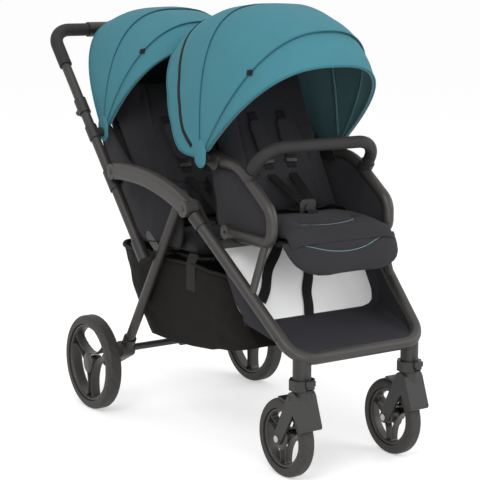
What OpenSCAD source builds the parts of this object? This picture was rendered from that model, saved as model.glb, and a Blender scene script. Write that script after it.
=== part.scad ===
// Tandem double stroller: two seats in line on one folding tube frame.
// The front is at -Y, the push handle at +Y, up is +Z and the floor is z = 0.
// Points written as [y, z] lie in the side view.

/* [Wheels] */
// Diameter of a rear wheel over its tyre
rear_wheel_d = 248; // [232:1:260]
// Width of a rear tyre
rear_tyre_w = 40; // [34:1:44]
// Distance from the rear legs out to the middle planes of the rear wheels
rear_wheel_out = 54; // [52:1:64]
// Diameter of a front wheel over its tyre
front_wheel_d = 183; // [172:1:190]
// Width of a front tyre
front_tyre_w = 34; // [30:1:36]
// Distance between the two swivel axes
front_track = 310; // [296:1:314]
// Distance from the front axles to the rear axles
wheelbase = 738; // [715:1:760]
// How far a front wheel trails its swivel axis
caster_trail = 58; // [52:1:62]
// Height of a tyre from rim to tread
tyre_h = 22; // [18:1:24]
// Diameter of the wheel axles
axle_d = 10; // [8:1:12]

/* [Frame] */
// Diameter of the front leg tube
front_leg_d = 28; // [25:1:30]
// Diameter of the rear leg tubes
rear_leg_d = 25; // [22:1:26]
// Diameter of the push handle tube
pusher_d = 25; // [22:1:27]
// Half the distance between the rear legs
rear_leg_half = 200; // [190:1:210]
// Distance from the rear legs out to the sides of the push handle tube
pusher_out = 36; // [35:1:44]
// Half the distance between the front leg tubes at the crossbar corners
crossbar_half = 181; // [176:1:186]
// Height of the front crossbar
crossbar_z = 287; // [282:1:296]
// Height of the hinge between the armrests and the front legs
hinge_z = 588; // [576:1:598]
// Distance of that hinge ahead of the middle of the wheelbase
hinge_ahead = 85; // [75:1:95]
// Distance from that hinge back to the pivots of the rear legs
leg_pivot_back = 93; // [86:1:100]
// Height of the rear leg pivots above that hinge
leg_pivot_up = 12; // [6:1:18]
// Height at which the push handle tube would cross the rear legs
latch_z = 427; // [420:1:434]
// Lean of the push handle from vertical, in degrees
pusher_lean = 41.3; // [40:0.1:42.5]
// Length along the push handle from that crossing to the grip bar
pusher_len = 738; // [715:1:760]
// Length along the push handle from that crossing to the armrest pivots
arm_pivot_along = 251; // [240:1:260]
// Thickness of an armrest across the stroller
armrest_w = 34; // [28:1:38]
// Height of an armrest
armrest_h = 42; // [38:1:46]
// Rise of the armrest's arch over the line between its pivots
armrest_rise = 22; // [16:1:28]

/* [Handle] */
// Diameter of the foam grips
grip_d = 34; // [30:1:38]
// Half the length of the release housing between the grips
release_half = 128; // [110:1:140]
// Diameter of the release housing
release_d = 40; // [38:1:44]
// Travel of the release trigger
trigger_travel = 5; // [3:1:7]
// Diameter of the accessory studs
stud_d = 16; // [12:1:20]
// Length of the accessory studs beyond their collars
stud_len = 14; // [10:1:18]
// Length of the thinner neck between a stud and its collar
stud_neck = 3; // [2:0.5:4]

/* [Front seat] */
// Distance from the rear legs in to the side hoops
hoop_in = 33; // [28:1:36]
// Diameter of the side hoops
hoop_d = 27; // [24:1:28]
// Drop of the hoops' lower rails below the armrest hinge
rail_drop = 57; // [52:1:60]
// Lean of the front backrest from vertical, in degrees
front_lean = 28; // [24:1:32]
// Length of the front backrest
front_back_len = 385; // [360:1:400]
// Thickness of the front seat pad
front_pad_t = 28; // [24:1:30]
// Length of the leg rest
leg_rest_len = 108; // [90:1:115]
// Diameter of the bumper bar's foam
bumper_d = 29; // [24:1:32]
// Height of the bumper bar above the hoops, square to them
bumper_rise = 92; // [84:1:100]

/* [Rear seat] */
// Lean of the rear backrest from vertical, in degrees
rear_lean = 36; // [33:1:38]
// Length of the rear backrest
rear_back_len = 440; // [410:1:455]
// Distance from the rear legs in to the edges of the rear seat pad
rear_pad_in = 25; // [24:1:35]
// Thickness of the rear seat pad
rear_pad_t = 42; // [36:1:44]
// Length of the rear seat pad
rear_pad_len = 205; // [190:1:208]

/* [Canopies] */
// Radius of the front canopy from its pivots to its crown
front_canopy_r = 360; // [345:1:372]
// Distance from the push handle's sides in to the front canopy
front_canopy_in = 31; // [27:1:34]
// Radius of the rear canopy from its pivots to its crown
rear_canopy_r = 318; // [305:1:325]
// Distance from the push handle's sides in to the rear canopy
rear_canopy_in = 31; // [28:1:36]
// Thickness of the canopy panels
canopy_wall = 3; // [2:0.5:4]

/* [Basket] */
// Gap between the basket and the rear legs
basket_gap = 5.5; // [4:0.5:16]
// Height of the basket's floor at its lowest point
basket_floor_z = 218; // [212:1:226]
// Thickness of the basket's fabric
basket_wall = 3; // [2:0.5:4]

/* [Clearances] */
// Radial clearance of a pin that turns in its bore
run_fit = 0.05; // [0.03:0.01:0.08]
// Radial clearance of a fitting seated on a tube
seat_fit = 0.15; // [0.1:0.05:0.2]
// Gap between pieces that move past each other
gap = 0.4; // [0.3:0.1:0.6]

/* [Hidden] */
$fn = 48;

frame_color = "#4A4743";
plastic_color = "#343130";
rubber_color = "#2A2928";
fabric_color = "#3C3C40";
canopy_color = "#518D96";
steel_color = "#B9BABC";

// Widths across the stroller, from its middle plane
rear_track = 2 * (rear_leg_half + rear_wheel_out);
pusher_half = rear_leg_half + pusher_out;
hoop_half = rear_leg_half - hoop_in;
rear_pad_half = rear_leg_half - rear_pad_in;
front_canopy_half = pusher_half - front_canopy_in;
rear_canopy_half = pusher_half - rear_canopy_in;
basket_half = rear_leg_half - rear_leg_d / 2 - basket_gap;

// Points and directions in the side view
front_axle = [-wheelbase / 2, front_wheel_d / 2];
rear_axle = [wheelbase / 2, rear_wheel_d / 2];
caster_y = front_axle.x - caster_trail;
crossbar = [caster_y - 14, crossbar_z];
hinge = [-hinge_ahead, hinge_z];
leg_pivot = hinge + [leg_pivot_back, leg_pivot_up];
leg_foot = rear_axle + [-79, 41];
leg_dir = unit(leg_foot - leg_pivot);
crossing = leg_pivot + leg_dir * (latch_z - leg_pivot.y) / leg_dir.y;
pusher_dir = [sin(pusher_lean), cos(pusher_lean)];
pusher_front = [-pusher_dir.y, pusher_dir.x];
arm_pivot_offset = 36;
arm_pivot = crossing + pusher_dir * arm_pivot_along + pusher_front * arm_pivot_offset;
grip_bar = crossing + pusher_dir * pusher_len;
handle_bend = 52;
bead_len = 1.2;
bead_rise = 0.1;
seat_bar_d = 20;
latch_bar = crossing + [-leg_dir.y, leg_dir.x] * (rear_leg_d / 2 + gap + seat_bar_d / 2);
pusher_start = 26;
grip_start = pusher_len - 120;
stud_at = 482;
stud_undercut = 4;
collar_wall = 3.5;
collar_half = 22;
hub_along = 398;
hub_clamp_half = 20;
foot_clamp = [6, 64];
arm_clamp = [-32, 26];
clamp_wall = 3;
over_cut = 20;
trigger_half = 45;
trigger_w = 16;
trigger_t = 14;
finger_r = 244;
function pusher_at(t) = crossing + pusher_dir * t;
pusher_tube = [at_x(pusher_half, pusher_at(pusher_start)), at_x(pusher_half, grip_bar),
    at_x(-pusher_half, grip_bar), at_x(-pusher_half, pusher_at(pusher_start))];

// The front leg tube leans in towards the crossbar
front_leg_dir = unit([pusher_half - crossbar_half, hinge.x - crossbar.x, hinge.y - crossbar.y]);
leg_end_back = 27;
front_leg_top = [pusher_half, hinge.x, hinge.y] - front_leg_dir * leg_end_back;
crossbar_bend = 60;
front_tube = [front_leg_top, [crossbar_half, crossbar.x, crossbar.y],
    [-crossbar_half, crossbar.x, crossbar.y], [-front_leg_top.x, front_leg_top.y, front_leg_top.z]];
function front_leg_at(z) = front_tube[1] + front_leg_dir * (z - crossbar.y) / front_leg_dir.z;

// Hinge plates lie between the rear legs and the armrests
plate_t = 8;
plate_x = rear_leg_half + rear_leg_d / 2 + gap;
armrest_x = plate_x + plate_t + gap;
pivot_pin_d = 10;

// The casters
fork_gap = 3;
hub_cap_t = 3;
fork_cheek = 7;
fender_gap = 6;
fender_wall = 4;
fender_low = 22;
fork_nose = [-front_wheel_d / 2, 44];
fork_nose_r = 8;
stem_d = 14;
stem_len = 36;
post_d = 42;
collar_d = 60;
collar_h = 24;
crown_z = front_axle.y + front_wheel_d / 2 + 31;
collar_z = crown_z + gap;
lock_w = 16;
lock_travel = 5;

// The rear brackets
foot_bar_d = 18;
bracket_in = 15;
bracket_out = 20;
rear_hub_w = rear_tyre_w - 2;

// The seats
rail_z = hinge_z - rail_drop;
pad_crown = 6;
pad_draw = 4;
pivot_d = 8;
front_pivot = [hinge.x - 63, rail_z + 4];
hoop_front_y = front_pivot.x - 178;
hoop_top = [front_pivot.x + 48, rail_z + 166];
hoop_slope = 35.3;
hoop_shoulder = [hoop_top.x - 90, hoop_top.y];
hoop_knee = [hoop_front_y, hoop_shoulder.y - (hoop_shoulder.x - hoop_front_y) * tan(hoop_slope)];
front_half = hoop_half - hoop_d / 2 - 5;
wing_t = 3;
front_base_z = rail_z - 8;
front_base_t = 12;
front_pad_z = front_base_z + front_base_t;
front_pad_y0 = hoop_front_y - 14;
front_pad_y1 = front_pivot.x - 16;
front_pad_len = front_pad_y1 - front_pad_y0;
front_pad_mid = (front_pad_y0 + front_pad_y1) / 2;
leg_rest_pivot = [hoop_front_y - hoop_d / 2 - 8, front_pad_z + 2];
leg_rest_t = 22;
leg_rest_half = front_half + 15.5;
leg_rest_droop = 52;
leg_rest_barrel = 14;
leg_rest_barrel_half = front_half - 30.5;
lug_t = 9;
lug_r = 8;
bumper_up = 32;
bumper_mid = (hoop_shoulder + hoop_knee) / 2 + [cos(hoop_slope), sin(hoop_slope)] * bumper_up;
bumper_dir = [-sin(hoop_slope), cos(hoop_slope)];
socket_d = 36;
socket_h = 24;
bumper_bend = 60;
seat_tube_d = 20;
seat_tube_z = rail_z - 19;

rear_pivot = latch_bar + [58, 39];
rear_rail_d = 16;
rear_rail_half = 140;
rear_pad_z = latch_bar.y + seat_bar_d / 2 + gap;
rear_pad_y1 = rear_pivot.x - 10;
rear_pad_y0 = rear_pad_y1 - rear_pad_len;
rear_pad_mid = (rear_pad_y0 + rear_pad_y1) / 2;
rear_board_half = rear_pad_half - 3;
rear_wing_x = rear_pad_half - pad_draw * 0.6 + gap;
board_t = 8;
back_pad_t = 38;
back_start = 26;

// The harness buckles
buckle_w = 46;
buckle_h = 40;
buckle_t = 16;
button_d = 18;
button_travel = 3;
front_buckle_y = front_pad_y1 - 62;
front_buckle_z = front_pad_z + gap
    + pad_top(front_pad_t, 0, 2 * (front_buckle_y - front_pad_mid) / front_pad_len);
rear_buckle_y = rear_pad_y1 - 66;
rear_buckle_z = rear_pad_z + gap
    + pad_top(rear_pad_t, 0, 2 * (rear_buckle_y - rear_pad_mid) / rear_pad_len);

// The slots for the harness straps
strap_slot_w = 44;
strap_slot_h = 6;
slot_rim = 6;
slot_rise = 1.5;
strap_half = 42;
crotch_slot_ahead = 30;
shoulder_slot_share = 0.2;

// The canopies, in angles from straight ahead through up
panel_step = canopy_wall + 1;
front_hub = hoop_top + [14, 8];
rear_hub = pusher_at(hub_along);
hub_d = 26;
front_visor_angle = 44;
front_seam_angle = 58;
front_bow_angle = 94;
front_rear_angle = 133;
rear_visor_angle = 52;
rear_seam_angle = 64;
rear_bow_angle = 84;
rear_rear_angle = 116;
panel_lap = 2;
disc_inset = 0.25;

// The basket
basket_depth = 168;
tab_w = 30;
mouth_cut = 60;
footwell_gap = 13;
footwell_rise = 132;
basket_front_y = front_axle.x + 106;
basket_back = [rear_axle.x - 118, basket_floor_z];
basket_top_back = rear_axle + [10, 288];
basket_front_low = [basket_front_y, basket_floor_z + 62];
basket_front_top = [basket_front_y, crossbar_z + 150];

// The part stands with the middle of its length on the origin
y_front = front_axle.x + fork_nose.x - fork_nose_r;
y_back = grip_bar.x + release_d / 2;
y_shift = -(y_front + y_back) / 2;

function unit(v) = v / norm(v);
function at_x(x, p) = [x, p.x, p.y];
function bend_open(a, b, c) = acos(unit(a - b) * unit(c - b));
function bend_trim(a, b, c, r) = r / tan(bend_open(a, b, c) / 2);

module placed() translate([0, y_shift, 0]) children();

module side(s) mirror([s < 0 ? 1 : 0, 0, 0]) children();

module both() {
    children();
    mirror([1, 0, 0]) children();
}

// A straight round bar from p to q
module rod(p, q, d) {
    v = q - p;
    translate(p) rotate([0, acos(v.z / norm(v)), atan2(v.y, v.x)]) cylinder(h = norm(v), d = d);
}

// A round bar on the push handle's right side, between two lengths along it
module on_pusher(a, b, d) rod(at_x(pusher_half, pusher_at(a)), at_x(pusher_half, pusher_at(b)), d);

// A round bar along X at a side view point
module cross_rod(p, x0, x1, d) translate([x0, p.x, p.y]) rotate([0, 90, 0]) cylinder(h = x1 - x0, d = d);

// A side view outline carried along X
module along_x(x0, x1)
    multmatrix([[0, 0, 1, x0], [1, 0, 0, 0], [0, 1, 0, 0], [0, 0, 0, 1]]) linear_extrude(x1 - x0) children();

// A revolve about the X axis through p, with angles from straight ahead through up
module about_x(p, a0, a1)
    multmatrix([[0, 0, -1, 0], [-1, 0, 0, p.x], [0, 1, 0, p.y], [0, 0, 0, 1]])
        rotate(a0) rotate_extrude(angle = a1 - a0, $fn = 96) children();

// One rounded bend of a tube at b, between its neighbours a and c
module tube_bend(a, b, c, r, d) {
    u = unit(a - b);
    v = unit(c - b);
    middle = b + unit(u + v) * r / sin(bend_open(a, b, c) / 2);
    trim = bend_trim(a, b, c, r);
    ex = unit(b + u * trim - middle);
    ez = unit(cross(ex, unit(b + v * trim - middle)));
    ey = cross(ez, ex);
    multmatrix([[ex.x, ey.x, ez.x, middle.x], [ex.y, ey.y, ez.y, middle.y],
            [ex.z, ey.z, ez.z, middle.z], [0, 0, 0, 1]])
        rotate_extrude(angle = 180 - bend_open(a, b, c)) translate([r, 0]) circle(d = d);
}

// A tube along a list of points, with a bend radius at each inner point and a low bead at each joint
module bent_tube(points, radii, d) {
    last = len(points) - 1;
    trims = [for (i = [0 : last]) i == 0 || i == last ? 0
        : bend_trim(points[i - 1], points[i], points[i + 1], radii[i - 1])];
    for (i = [0 : last - 1]) {
        run = unit(points[i + 1] - points[i]);
        p = points[i] + run * trims[i];
        q = points[i + 1] - run * trims[i + 1];
        rod(p + run * (i == 0 ? 0 : bead_len / 3), q - run * (i == last - 1 ? 0 : bead_len / 3), d);
        if (i > 0) rod(p - run * bead_len, p + run * bead_len, d + 2 * bead_rise);
        if (i < last - 1) rod(q - run * bead_len, q + run * bead_len, d + 2 * bead_rise);
    }
    for (i = [1 : last - 1]) tube_bend(points[i - 1], points[i], points[i + 1], radii[i - 1], d);
}

// An arm outline from p to q with round ends of two radii
module arm_outline(p, q, r0, r1) {
    n = unit([-(q - p).y, (q - p).x]);
    translate(p) circle(r0);
    translate(q) circle(r1);
    polygon([p + n * r0, p - n * r0, q - n * r1, q + n * r1]);
}

// A pointed oval of a given length and width
module lens_outline(l, w) {
    r = (l * l + w * w) / (4 * w);
    intersection() {
        translate([0, r - w / 2]) circle(r, $fn = 96);
        translate([0, w / 2 - r]) circle(r, $fn = 96);
    }
}

// A rectangle about the origin with rounded corners
module round_rect(w, h, r) {
    square([w - 2 * r, h], center = true);
    square([w, h - 2 * r], center = true);
    for (i = [-1, 1], j = [-1, 1]) translate([i * (w / 2 - r), j * (h / 2 - r)]) circle(r);
}

// Height of a pad's edge rounding, from 1 inside to 0 at its seam
function pad_edge(u) = sqrt(max(0, 1 - pow(abs(u), 8)));
function pad_top(t, u, v) = t / 2 + t / 2 * pad_edge(u) * pad_edge(v) + pad_crown * (1 - u * u) * (1 - v * v);

// A cushion on z = 0: a crowned top, a flat underside and sides drawn in between the corners
module cushion(w, l, t, n = 14) {
    s = [for (i = [0 : n]) sin(90 * (2 * i / n - 1))];
    function foot(u, v) = [u * (w / 2 - pad_draw * (1 - v * v)), v * (l / 2 - pad_draw * (1 - u * u))];
    function top_id(i, j) = i * (n + 1) + j;
    function low_id(i, j) = i == 0 || j == 0 || i == n || j == n ? top_id(i, j)
        : (n + 1) * (n + 1) + (i - 1) * (n - 1) + j - 1;
    tops = [for (u = s, v = s) concat(foot(u, v), pad_top(t, u, v))];
    lows = [for (i = [1 : n - 1], j = [1 : n - 1])
        concat(foot(s[i], s[j]), t / 2 - t / 2 * pad_edge(s[i]) * pad_edge(s[j]))];
    // Each cell is cut along the diagonal that points to its corner of the cushion
    function cell(a, b, c, d, even) = even ? [[b, c, a], [c, d, a]] : [[b, d, a], [c, d, b]];
    function even(i, j) = (i < n / 2) == (j < n / 2);
    up_faces = [for (i = [0 : n - 1], j = [0 : n - 1]) each
        cell(top_id(i, j), top_id(i, j + 1), top_id(i + 1, j + 1), top_id(i + 1, j), even(i, j))];
    low_faces = [for (i = [0 : n - 1], j = [0 : n - 1]) each
        cell(low_id(i, j), low_id(i + 1, j), low_id(i + 1, j + 1), low_id(i, j + 1), even(i, j))];
    polyhedron(points = concat(tops, lows), faces = concat(up_faces, low_faces));
}

// A strap slot's outline, grown by a margin on each side
module slot_outline(margin) square([strap_slot_w + 2 * margin, strap_slot_h + 2 * margin], center = true);

// A cushion with slots through it for harness straps, each in a low rim
module slotted_cushion(w, l, t, slots) {
    difference() {
        cushion(w, l, t);
        for (p = slots) translate([p.x, p.y, -1]) linear_extrude(2 * t) slot_outline(slot_rim / 3);
    }
    for (p = slots) translate([p.x, p.y, t / 2])
        linear_extrude(pad_top(t, 2 * p.x / w, 2 * p.y / l) - t / 2 + slot_rise) difference() {
            slot_outline(slot_rim);
            slot_outline(0);
        }
}

// The front legs and their crossbar, one bent tube
module front_tube_shape(extra = 0)
    bent_tube(front_tube, [crossbar_bend, crossbar_bend], front_leg_d + 2 * extra);

module front_leg_frame() color(frame_color) placed() front_tube_shape();

// A hinge casting: a sleeve on the leg's end, and a plate with the armrest and rear leg pins
module leg_hinge(s) color(plastic_color) placed() side(s) {
    sleeve = front_leg_d + 2 * seat_fit;
    from = front_leg_top - front_leg_dir * 34;
    difference() {
        union() {
            rod(from, front_leg_top + front_leg_dir * 2, sleeve + 5);
            along_x(plate_x, plate_x + plate_t) {
                arm_outline(hinge, leg_pivot, 18, 16);
                arm_outline(hinge, [from.y, from.z], 18, 13);
            }
        }
        rod(from - front_leg_dir * 20, front_leg_top, sleeve);
    }
    cross_rod(hinge, plate_x + plate_t, armrest_x + armrest_w - 6, pivot_pin_d);
    cross_rod(leg_pivot, rear_leg_half - rear_leg_d / 2 + 3, plate_x, pivot_pin_d);
}

// A swivel housing: a post under the crossbar, an eight-sided collar and the stem's bore
module caster_housing(s) color(plastic_color) placed() side(s) {
    x = front_track / 2;
    difference() {
        union() {
            translate([x, caster_y, collar_z]) cylinder(h = crossbar_z + 6 - collar_z, d = post_d);
            translate([x, caster_y, collar_z + 2]) rotate(22.5) cylinder(h = collar_h, d = collar_d, $fn = 8);
        }
        front_tube_shape(seat_fit);
        translate([x, caster_y, collar_z - 1]) cylinder(h = stem_len + 3, d = stem_d + 2 * run_fit);
        translate([x - lock_w / 2 - gap, caster_y - collar_d / 2, collar_z + 4])
            cube([lock_w + 2 * gap, collar_d / 2 - post_d / 2 - 1, collar_h]);
    }
}

// A swivel lock tab that slides down in its slot in the collar
module swivel_lock(s) color(plastic_color) placed() side(s) {
    back = caster_y - post_d / 2 - 1 - gap;
    z = collar_z + 4 + lock_travel + 1;
    translate([front_track / 2 - lock_w / 2, caster_y - collar_d / 2 - 6, z])
        cube([lock_w, back - caster_y + collar_d / 2 + 6, 14]);
    translate([front_track / 2 - lock_w / 2 - 4, caster_y - collar_d / 2 - 6, z + 6])
        cube([lock_w + 8, 5, 12]);
}

// A caster fork: stem, crown, two cheeks and a front fender
module fork(s) color(plastic_color) placed() side(s) {
    x = front_track / 2;
    inner = front_tyre_w / 2 + fork_gap;
    fender_half = inner + fork_cheek - 0.5;
    clear_r = front_wheel_d / 2 + fender_gap;
    crown = [caster_y, crown_z - 20];
    difference() {
        union() {
            translate([x, caster_y, crown_z - 34]) cylinder(h = 34, d = post_d + 4);
            along_x(x - inner - fork_cheek, x + inner + fork_cheek) {
                arm_outline(crown, front_axle, 20, 14);
                arm_outline(crown, front_axle + fork_nose, 20, fork_nose_r);
            }
            translate([x, 0, 0]) about_x(front_axle, fender_low, 88)
                translate([clear_r, -fender_half]) square([fender_wall, 2 * fender_half]);
        }
        cross_rod(front_axle, x - inner, x + inner, 2 * clear_r);
        cross_rod(front_axle, x - inner - fork_cheek - 1, x + inner + fork_cheek + 1, axle_d + 2 * seat_fit);
    }
    translate([x, caster_y, crown_z - 2]) cylinder(h = stem_len + 2, d = stem_d);
}

module front_axle_bolt(s) color(steel_color) placed() side(s) {
    x = front_track / 2;
    reach = front_tyre_w / 2 + fork_gap + fork_cheek;
    cross_rod(front_axle, x - reach, x + reach, axle_d);
    cross_rod(front_axle, x + reach, x + reach + 3, axle_d + 6);
    cross_rod(front_axle, x - reach - 3, x - reach, axle_d + 6);
}

// A wheel about X: a deep rim, three tulip spokes of two strands each and a hub
module wheel_rim(d, tyre_w, hub_w, bore_end) {
    rim_r = d / 2 - tyre_h;
    rim_w = tyre_w - 8;
    boss_d = axle_d + 22;
    strand = 7;
    spoke_l = rim_r + 6;
    spoke_w = rim_r * 0.62;
    rotate([0, 90, 0]) difference() {
        union() {
            difference() {
                cylinder(h = rim_w, r = rim_r, center = true, $fn = 96);
                cylinder(h = rim_w + 2, r = rim_r - 7, center = true, $fn = 96);
            }
            translate([0, 0, -7]) linear_extrude(14) intersection() {
                circle(rim_r - 3);
                for (i = [0 : 2]) rotate(120 * i + 60) translate([spoke_l / 2, 0]) difference() {
                    lens_outline(spoke_l + 8, spoke_w);
                    lens_outline(spoke_l - 8, spoke_w - 2 * strand);
                }
            }
            cylinder(h = hub_w, d = boss_d, center = true);
            translate([0, 0, hub_w / 2 - 1]) linear_extrude(hub_cap_t + 1) rotate(90)
                lens_outline(boss_d + 18, boss_d + 4);
        }
        translate([0, 0, -hub_w]) cylinder(h = hub_w + bore_end, d = axle_d + 2 * run_fit);
    }
}

// A tyre about X with a rounded tread
module tyre(d, w) {
    round_r = 11;
    rim_r = d / 2 - tyre_h;
    rotate([0, 90, 0]) rotate_extrude($fn = 96) {
        translate([rim_r, -w / 2]) square([tyre_h - round_r, w]);
        translate([rim_r, round_r - w / 2]) square([tyre_h, w - 2 * round_r]);
        for (k = [-1, 1]) translate([d / 2 - round_r, k * (w / 2 - round_r)]) circle(round_r);
    }
}

module front_rim(s) color(plastic_color) placed() side(s) at_front_wheel()
    wheel_rim(front_wheel_d, front_tyre_w, front_tyre_w + 2 * (fork_gap - gap - hub_cap_t), front_wheel_d);

module front_tyre(s) color(rubber_color) placed() side(s) at_front_wheel() tyre(front_wheel_d, front_tyre_w);

module at_front_wheel() translate([front_track / 2, front_axle.x, front_axle.y]) children();

module at_rear_wheel() translate([rear_track / 2, rear_axle.x, rear_axle.y]) children();

module rear_rim(s) color(plastic_color) placed() side(s) at_rear_wheel()
    wheel_rim(rear_wheel_d, rear_tyre_w, rear_hub_w, rear_hub_w / 2 - 8);

module rear_tyre(s) color(rubber_color) placed() side(s) at_rear_wheel() tyre(rear_wheel_d, rear_tyre_w);

// The rear legs with the cross tube between their feet
module rear_leg_frame() color(frame_color) placed() {
    both() difference() {
        rod(at_x(rear_leg_half, leg_pivot - leg_dir * 16), at_x(rear_leg_half, leg_foot), rear_leg_d);
        cross_rod(leg_pivot, 0, 2 * rear_leg_half, pivot_pin_d + 2 * run_fit);
    }
    cross_rod(leg_foot - leg_dir * 6, -rear_leg_half, rear_leg_half, foot_bar_d);
}

// A rear bracket: a sleeve on the leg's foot and an arm back to the axle
module rear_bracket(s) color(plastic_color) placed() side(s) {
    sleeve_top = leg_foot - leg_dir * 44;
    difference() {
        union() {
            rod(at_x(rear_leg_half, sleeve_top), at_x(rear_leg_half, leg_foot), rear_leg_d + 9);
            along_x(rear_leg_half - bracket_in, rear_leg_half + bracket_out)
                arm_outline(leg_foot - leg_dir * 6, rear_axle, 21, 16);
        }
        rod(at_x(rear_leg_half, sleeve_top - leg_dir * over_cut), at_x(rear_leg_half, leg_foot),
            rear_leg_d + 2 * seat_fit);
        cross_rod(leg_foot - leg_dir * 6, 0, rear_leg_half, foot_bar_d + 2 * seat_fit);
        cross_rod(rear_axle, 0, rear_track, axle_d + 2 * seat_fit);
    }
}

module rear_axles() color(steel_color) placed() both()
    cross_rod(rear_axle, rear_leg_half - bracket_in, rear_track / 2 + rear_hub_w / 2 - 10, axle_d);

// The brake pedal turns on the cross tube
module brake_pedal() color(plastic_color) placed() {
    centre = leg_foot - leg_dir * 6;
    difference() {
        union() {
            cross_rod(centre, -36, 36, foot_bar_d + 12);
            along_x(-30, 30) arm_outline(centre + [8, 8], centre + [62, 14], 7, 5);
        }
        cross_rod(centre, -60, 60, foot_bar_d + 2 * run_fit);
    }
}

// An armrest: an arched bar with round ends on its two pivot pins
module armrest(s) color(frame_color) placed() side(s) {
    chord = arm_pivot - hinge;
    half = norm(chord) / 2;
    arch_r = (half * half + armrest_rise * armrest_rise) / (2 * armrest_rise);
    up = unit([-chord.y, chord.x]);
    centre = (hinge + arm_pivot) / 2 - up * (arch_r - armrest_rise);
    tilt = atan2(chord.y, chord.x);
    spread = asin(half / arch_r);
    middle_x = armrest_x + armrest_w / 2;
    difference() {
        union() {
            translate([middle_x, 0, 0]) about_x(centre, 90 - spread - tilt, 90 + spread - tilt)
                translate([arch_r, 0]) round_rect(armrest_h, armrest_w, 12);
            for (p = [hinge, arm_pivot])
                cross_rod(p, armrest_x, armrest_x + armrest_w, armrest_h - 2);
        }
        for (p = [hinge, arm_pivot])
            cross_rod(p, armrest_x - 1, armrest_x + armrest_w - 5, pivot_pin_d + 2 * run_fit);
    }
}

// The push handle, one bent tube
module pusher_frame() color(frame_color) placed()
    bent_tube(pusher_tube, [handle_bend, handle_bend], pusher_d);

// Clamps on the push handle: its end castings, the armrest pivots and the canopy pivots
module pusher_clamps() color(plastic_color) placed() both() {
    bore = pusher_d + 2 * seat_fit;
    outer = bore + 2 * clamp_wall;
    difference() {
        union() {
            on_pusher(foot_clamp[0], foot_clamp[1], outer);
            cross_rod(latch_bar, rear_leg_half + rear_leg_d / 2 + gap, pusher_half, seat_bar_d + 10);
        }
        on_pusher(pusher_start, foot_clamp[1] + over_cut, bore);
        cross_rod(latch_bar, 0, pusher_half - pusher_d / 2, seat_bar_d + 2 * seat_fit);
    }
    difference() {
        union() {
            on_pusher(arm_pivot_along + arm_clamp[0], arm_pivot_along + arm_clamp[1], outer);
            along_x(plate_x, plate_x + plate_t) arm_outline(arm_pivot, pusher_at(arm_pivot_along), 16, 18);
        }
        on_pusher(arm_pivot_along + arm_clamp[0] - over_cut, arm_pivot_along + arm_clamp[1] + over_cut, bore);
        translate([armrest_x - gap, 0, 0]) cross_rod(arm_pivot, 0, armrest_w + 30, armrest_h + 2 * gap);
    }
    cross_rod(arm_pivot, plate_x + plate_t, armrest_x + armrest_w - 6, pivot_pin_d);
    difference() {
        union() {
            on_pusher(hub_along - hub_clamp_half, hub_along + hub_clamp_half, outer);
            cross_rod(rear_hub, rear_canopy_half + gap, pusher_half, hub_d);
        }
        on_pusher(hub_along - hub_clamp_half - over_cut, hub_along + hub_clamp_half + over_cut, bore);
    }
    cross_rod(rear_hub, rear_canopy_half - canopy_wall - 2 * panel_step - 4, rear_canopy_half + gap, pivot_d);
}

// A foam grip round one corner of the push handle
module handle_grip(s) color(rubber_color) placed() side(s) {
    start = at_x(pusher_half, pusher_at(grip_start));
    corner = at_x(pusher_half, grip_bar);
    end = at_x(release_half + gap, grip_bar);
    difference() {
        bent_tube([start, corner, end], [handle_bend], grip_d);
        bent_tube([start - at_x(0, pusher_dir) * 5, corner, end - [5, 0, 0]], [handle_bend],
            pusher_d + 2 * seat_fit);
    }
}

// The middle of the handle bar, with a slot below for the release trigger
module release_housing() color(plastic_color) placed() difference() {
    cross_rod(grip_bar, -release_half, release_half, release_d);
    cross_rod(grip_bar, -release_half - 1, release_half + 1, pusher_d + 2 * seat_fit);
    on_grip_bar() translate([-trigger_half - gap, -trigger_w / 2 - gap, -release_d])
        cube([2 * (trigger_half + gap), trigger_w + 2 * gap, release_d]);
}

// The handle bar's own frame: X along the bar and Z up the push handle
module on_grip_bar() translate([0, grip_bar.x, grip_bar.y]) rotate([-pusher_lean, 0, 0]) children();

module release_trigger() color(rubber_color) placed() on_grip_bar() {
    top = pusher_d / 2 + seat_fit + trigger_travel + 1;
    difference() {
        translate([-trigger_half, -trigger_w / 2, -top - trigger_t]) cube([2 * trigger_half, trigger_w, trigger_t]);
        translate([0, 0, 4 - top - trigger_t - finger_r]) rotate([90, 0, 0])
            cylinder(h = trigger_w + 2, r = finger_r, center = true, $fn = 180);
    }
}

// Collars on the push handle with a stud behind for an accessory
module stud_collars() color(plastic_color) placed() both() {
    middle = pusher_at(stud_at);
    back = -pusher_front;
    collar_r = pusher_d / 2 + collar_wall;
    difference() {
        union() {
            on_pusher(stud_at - collar_half, stud_at + collar_half, 2 * collar_r);
            rod(at_x(pusher_half, middle), at_x(pusher_half, middle + back * (collar_r + stud_neck + 1)),
                stud_d - stud_undercut);
            rod(at_x(pusher_half, middle + back * (collar_r + stud_neck)),
                at_x(pusher_half, middle + back * (collar_r + stud_len)), stud_d);
        }
        on_pusher(stud_at - collar_half - over_cut, stud_at + collar_half + over_cut, pusher_d + 2 * seat_fit);
    }
}

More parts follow.
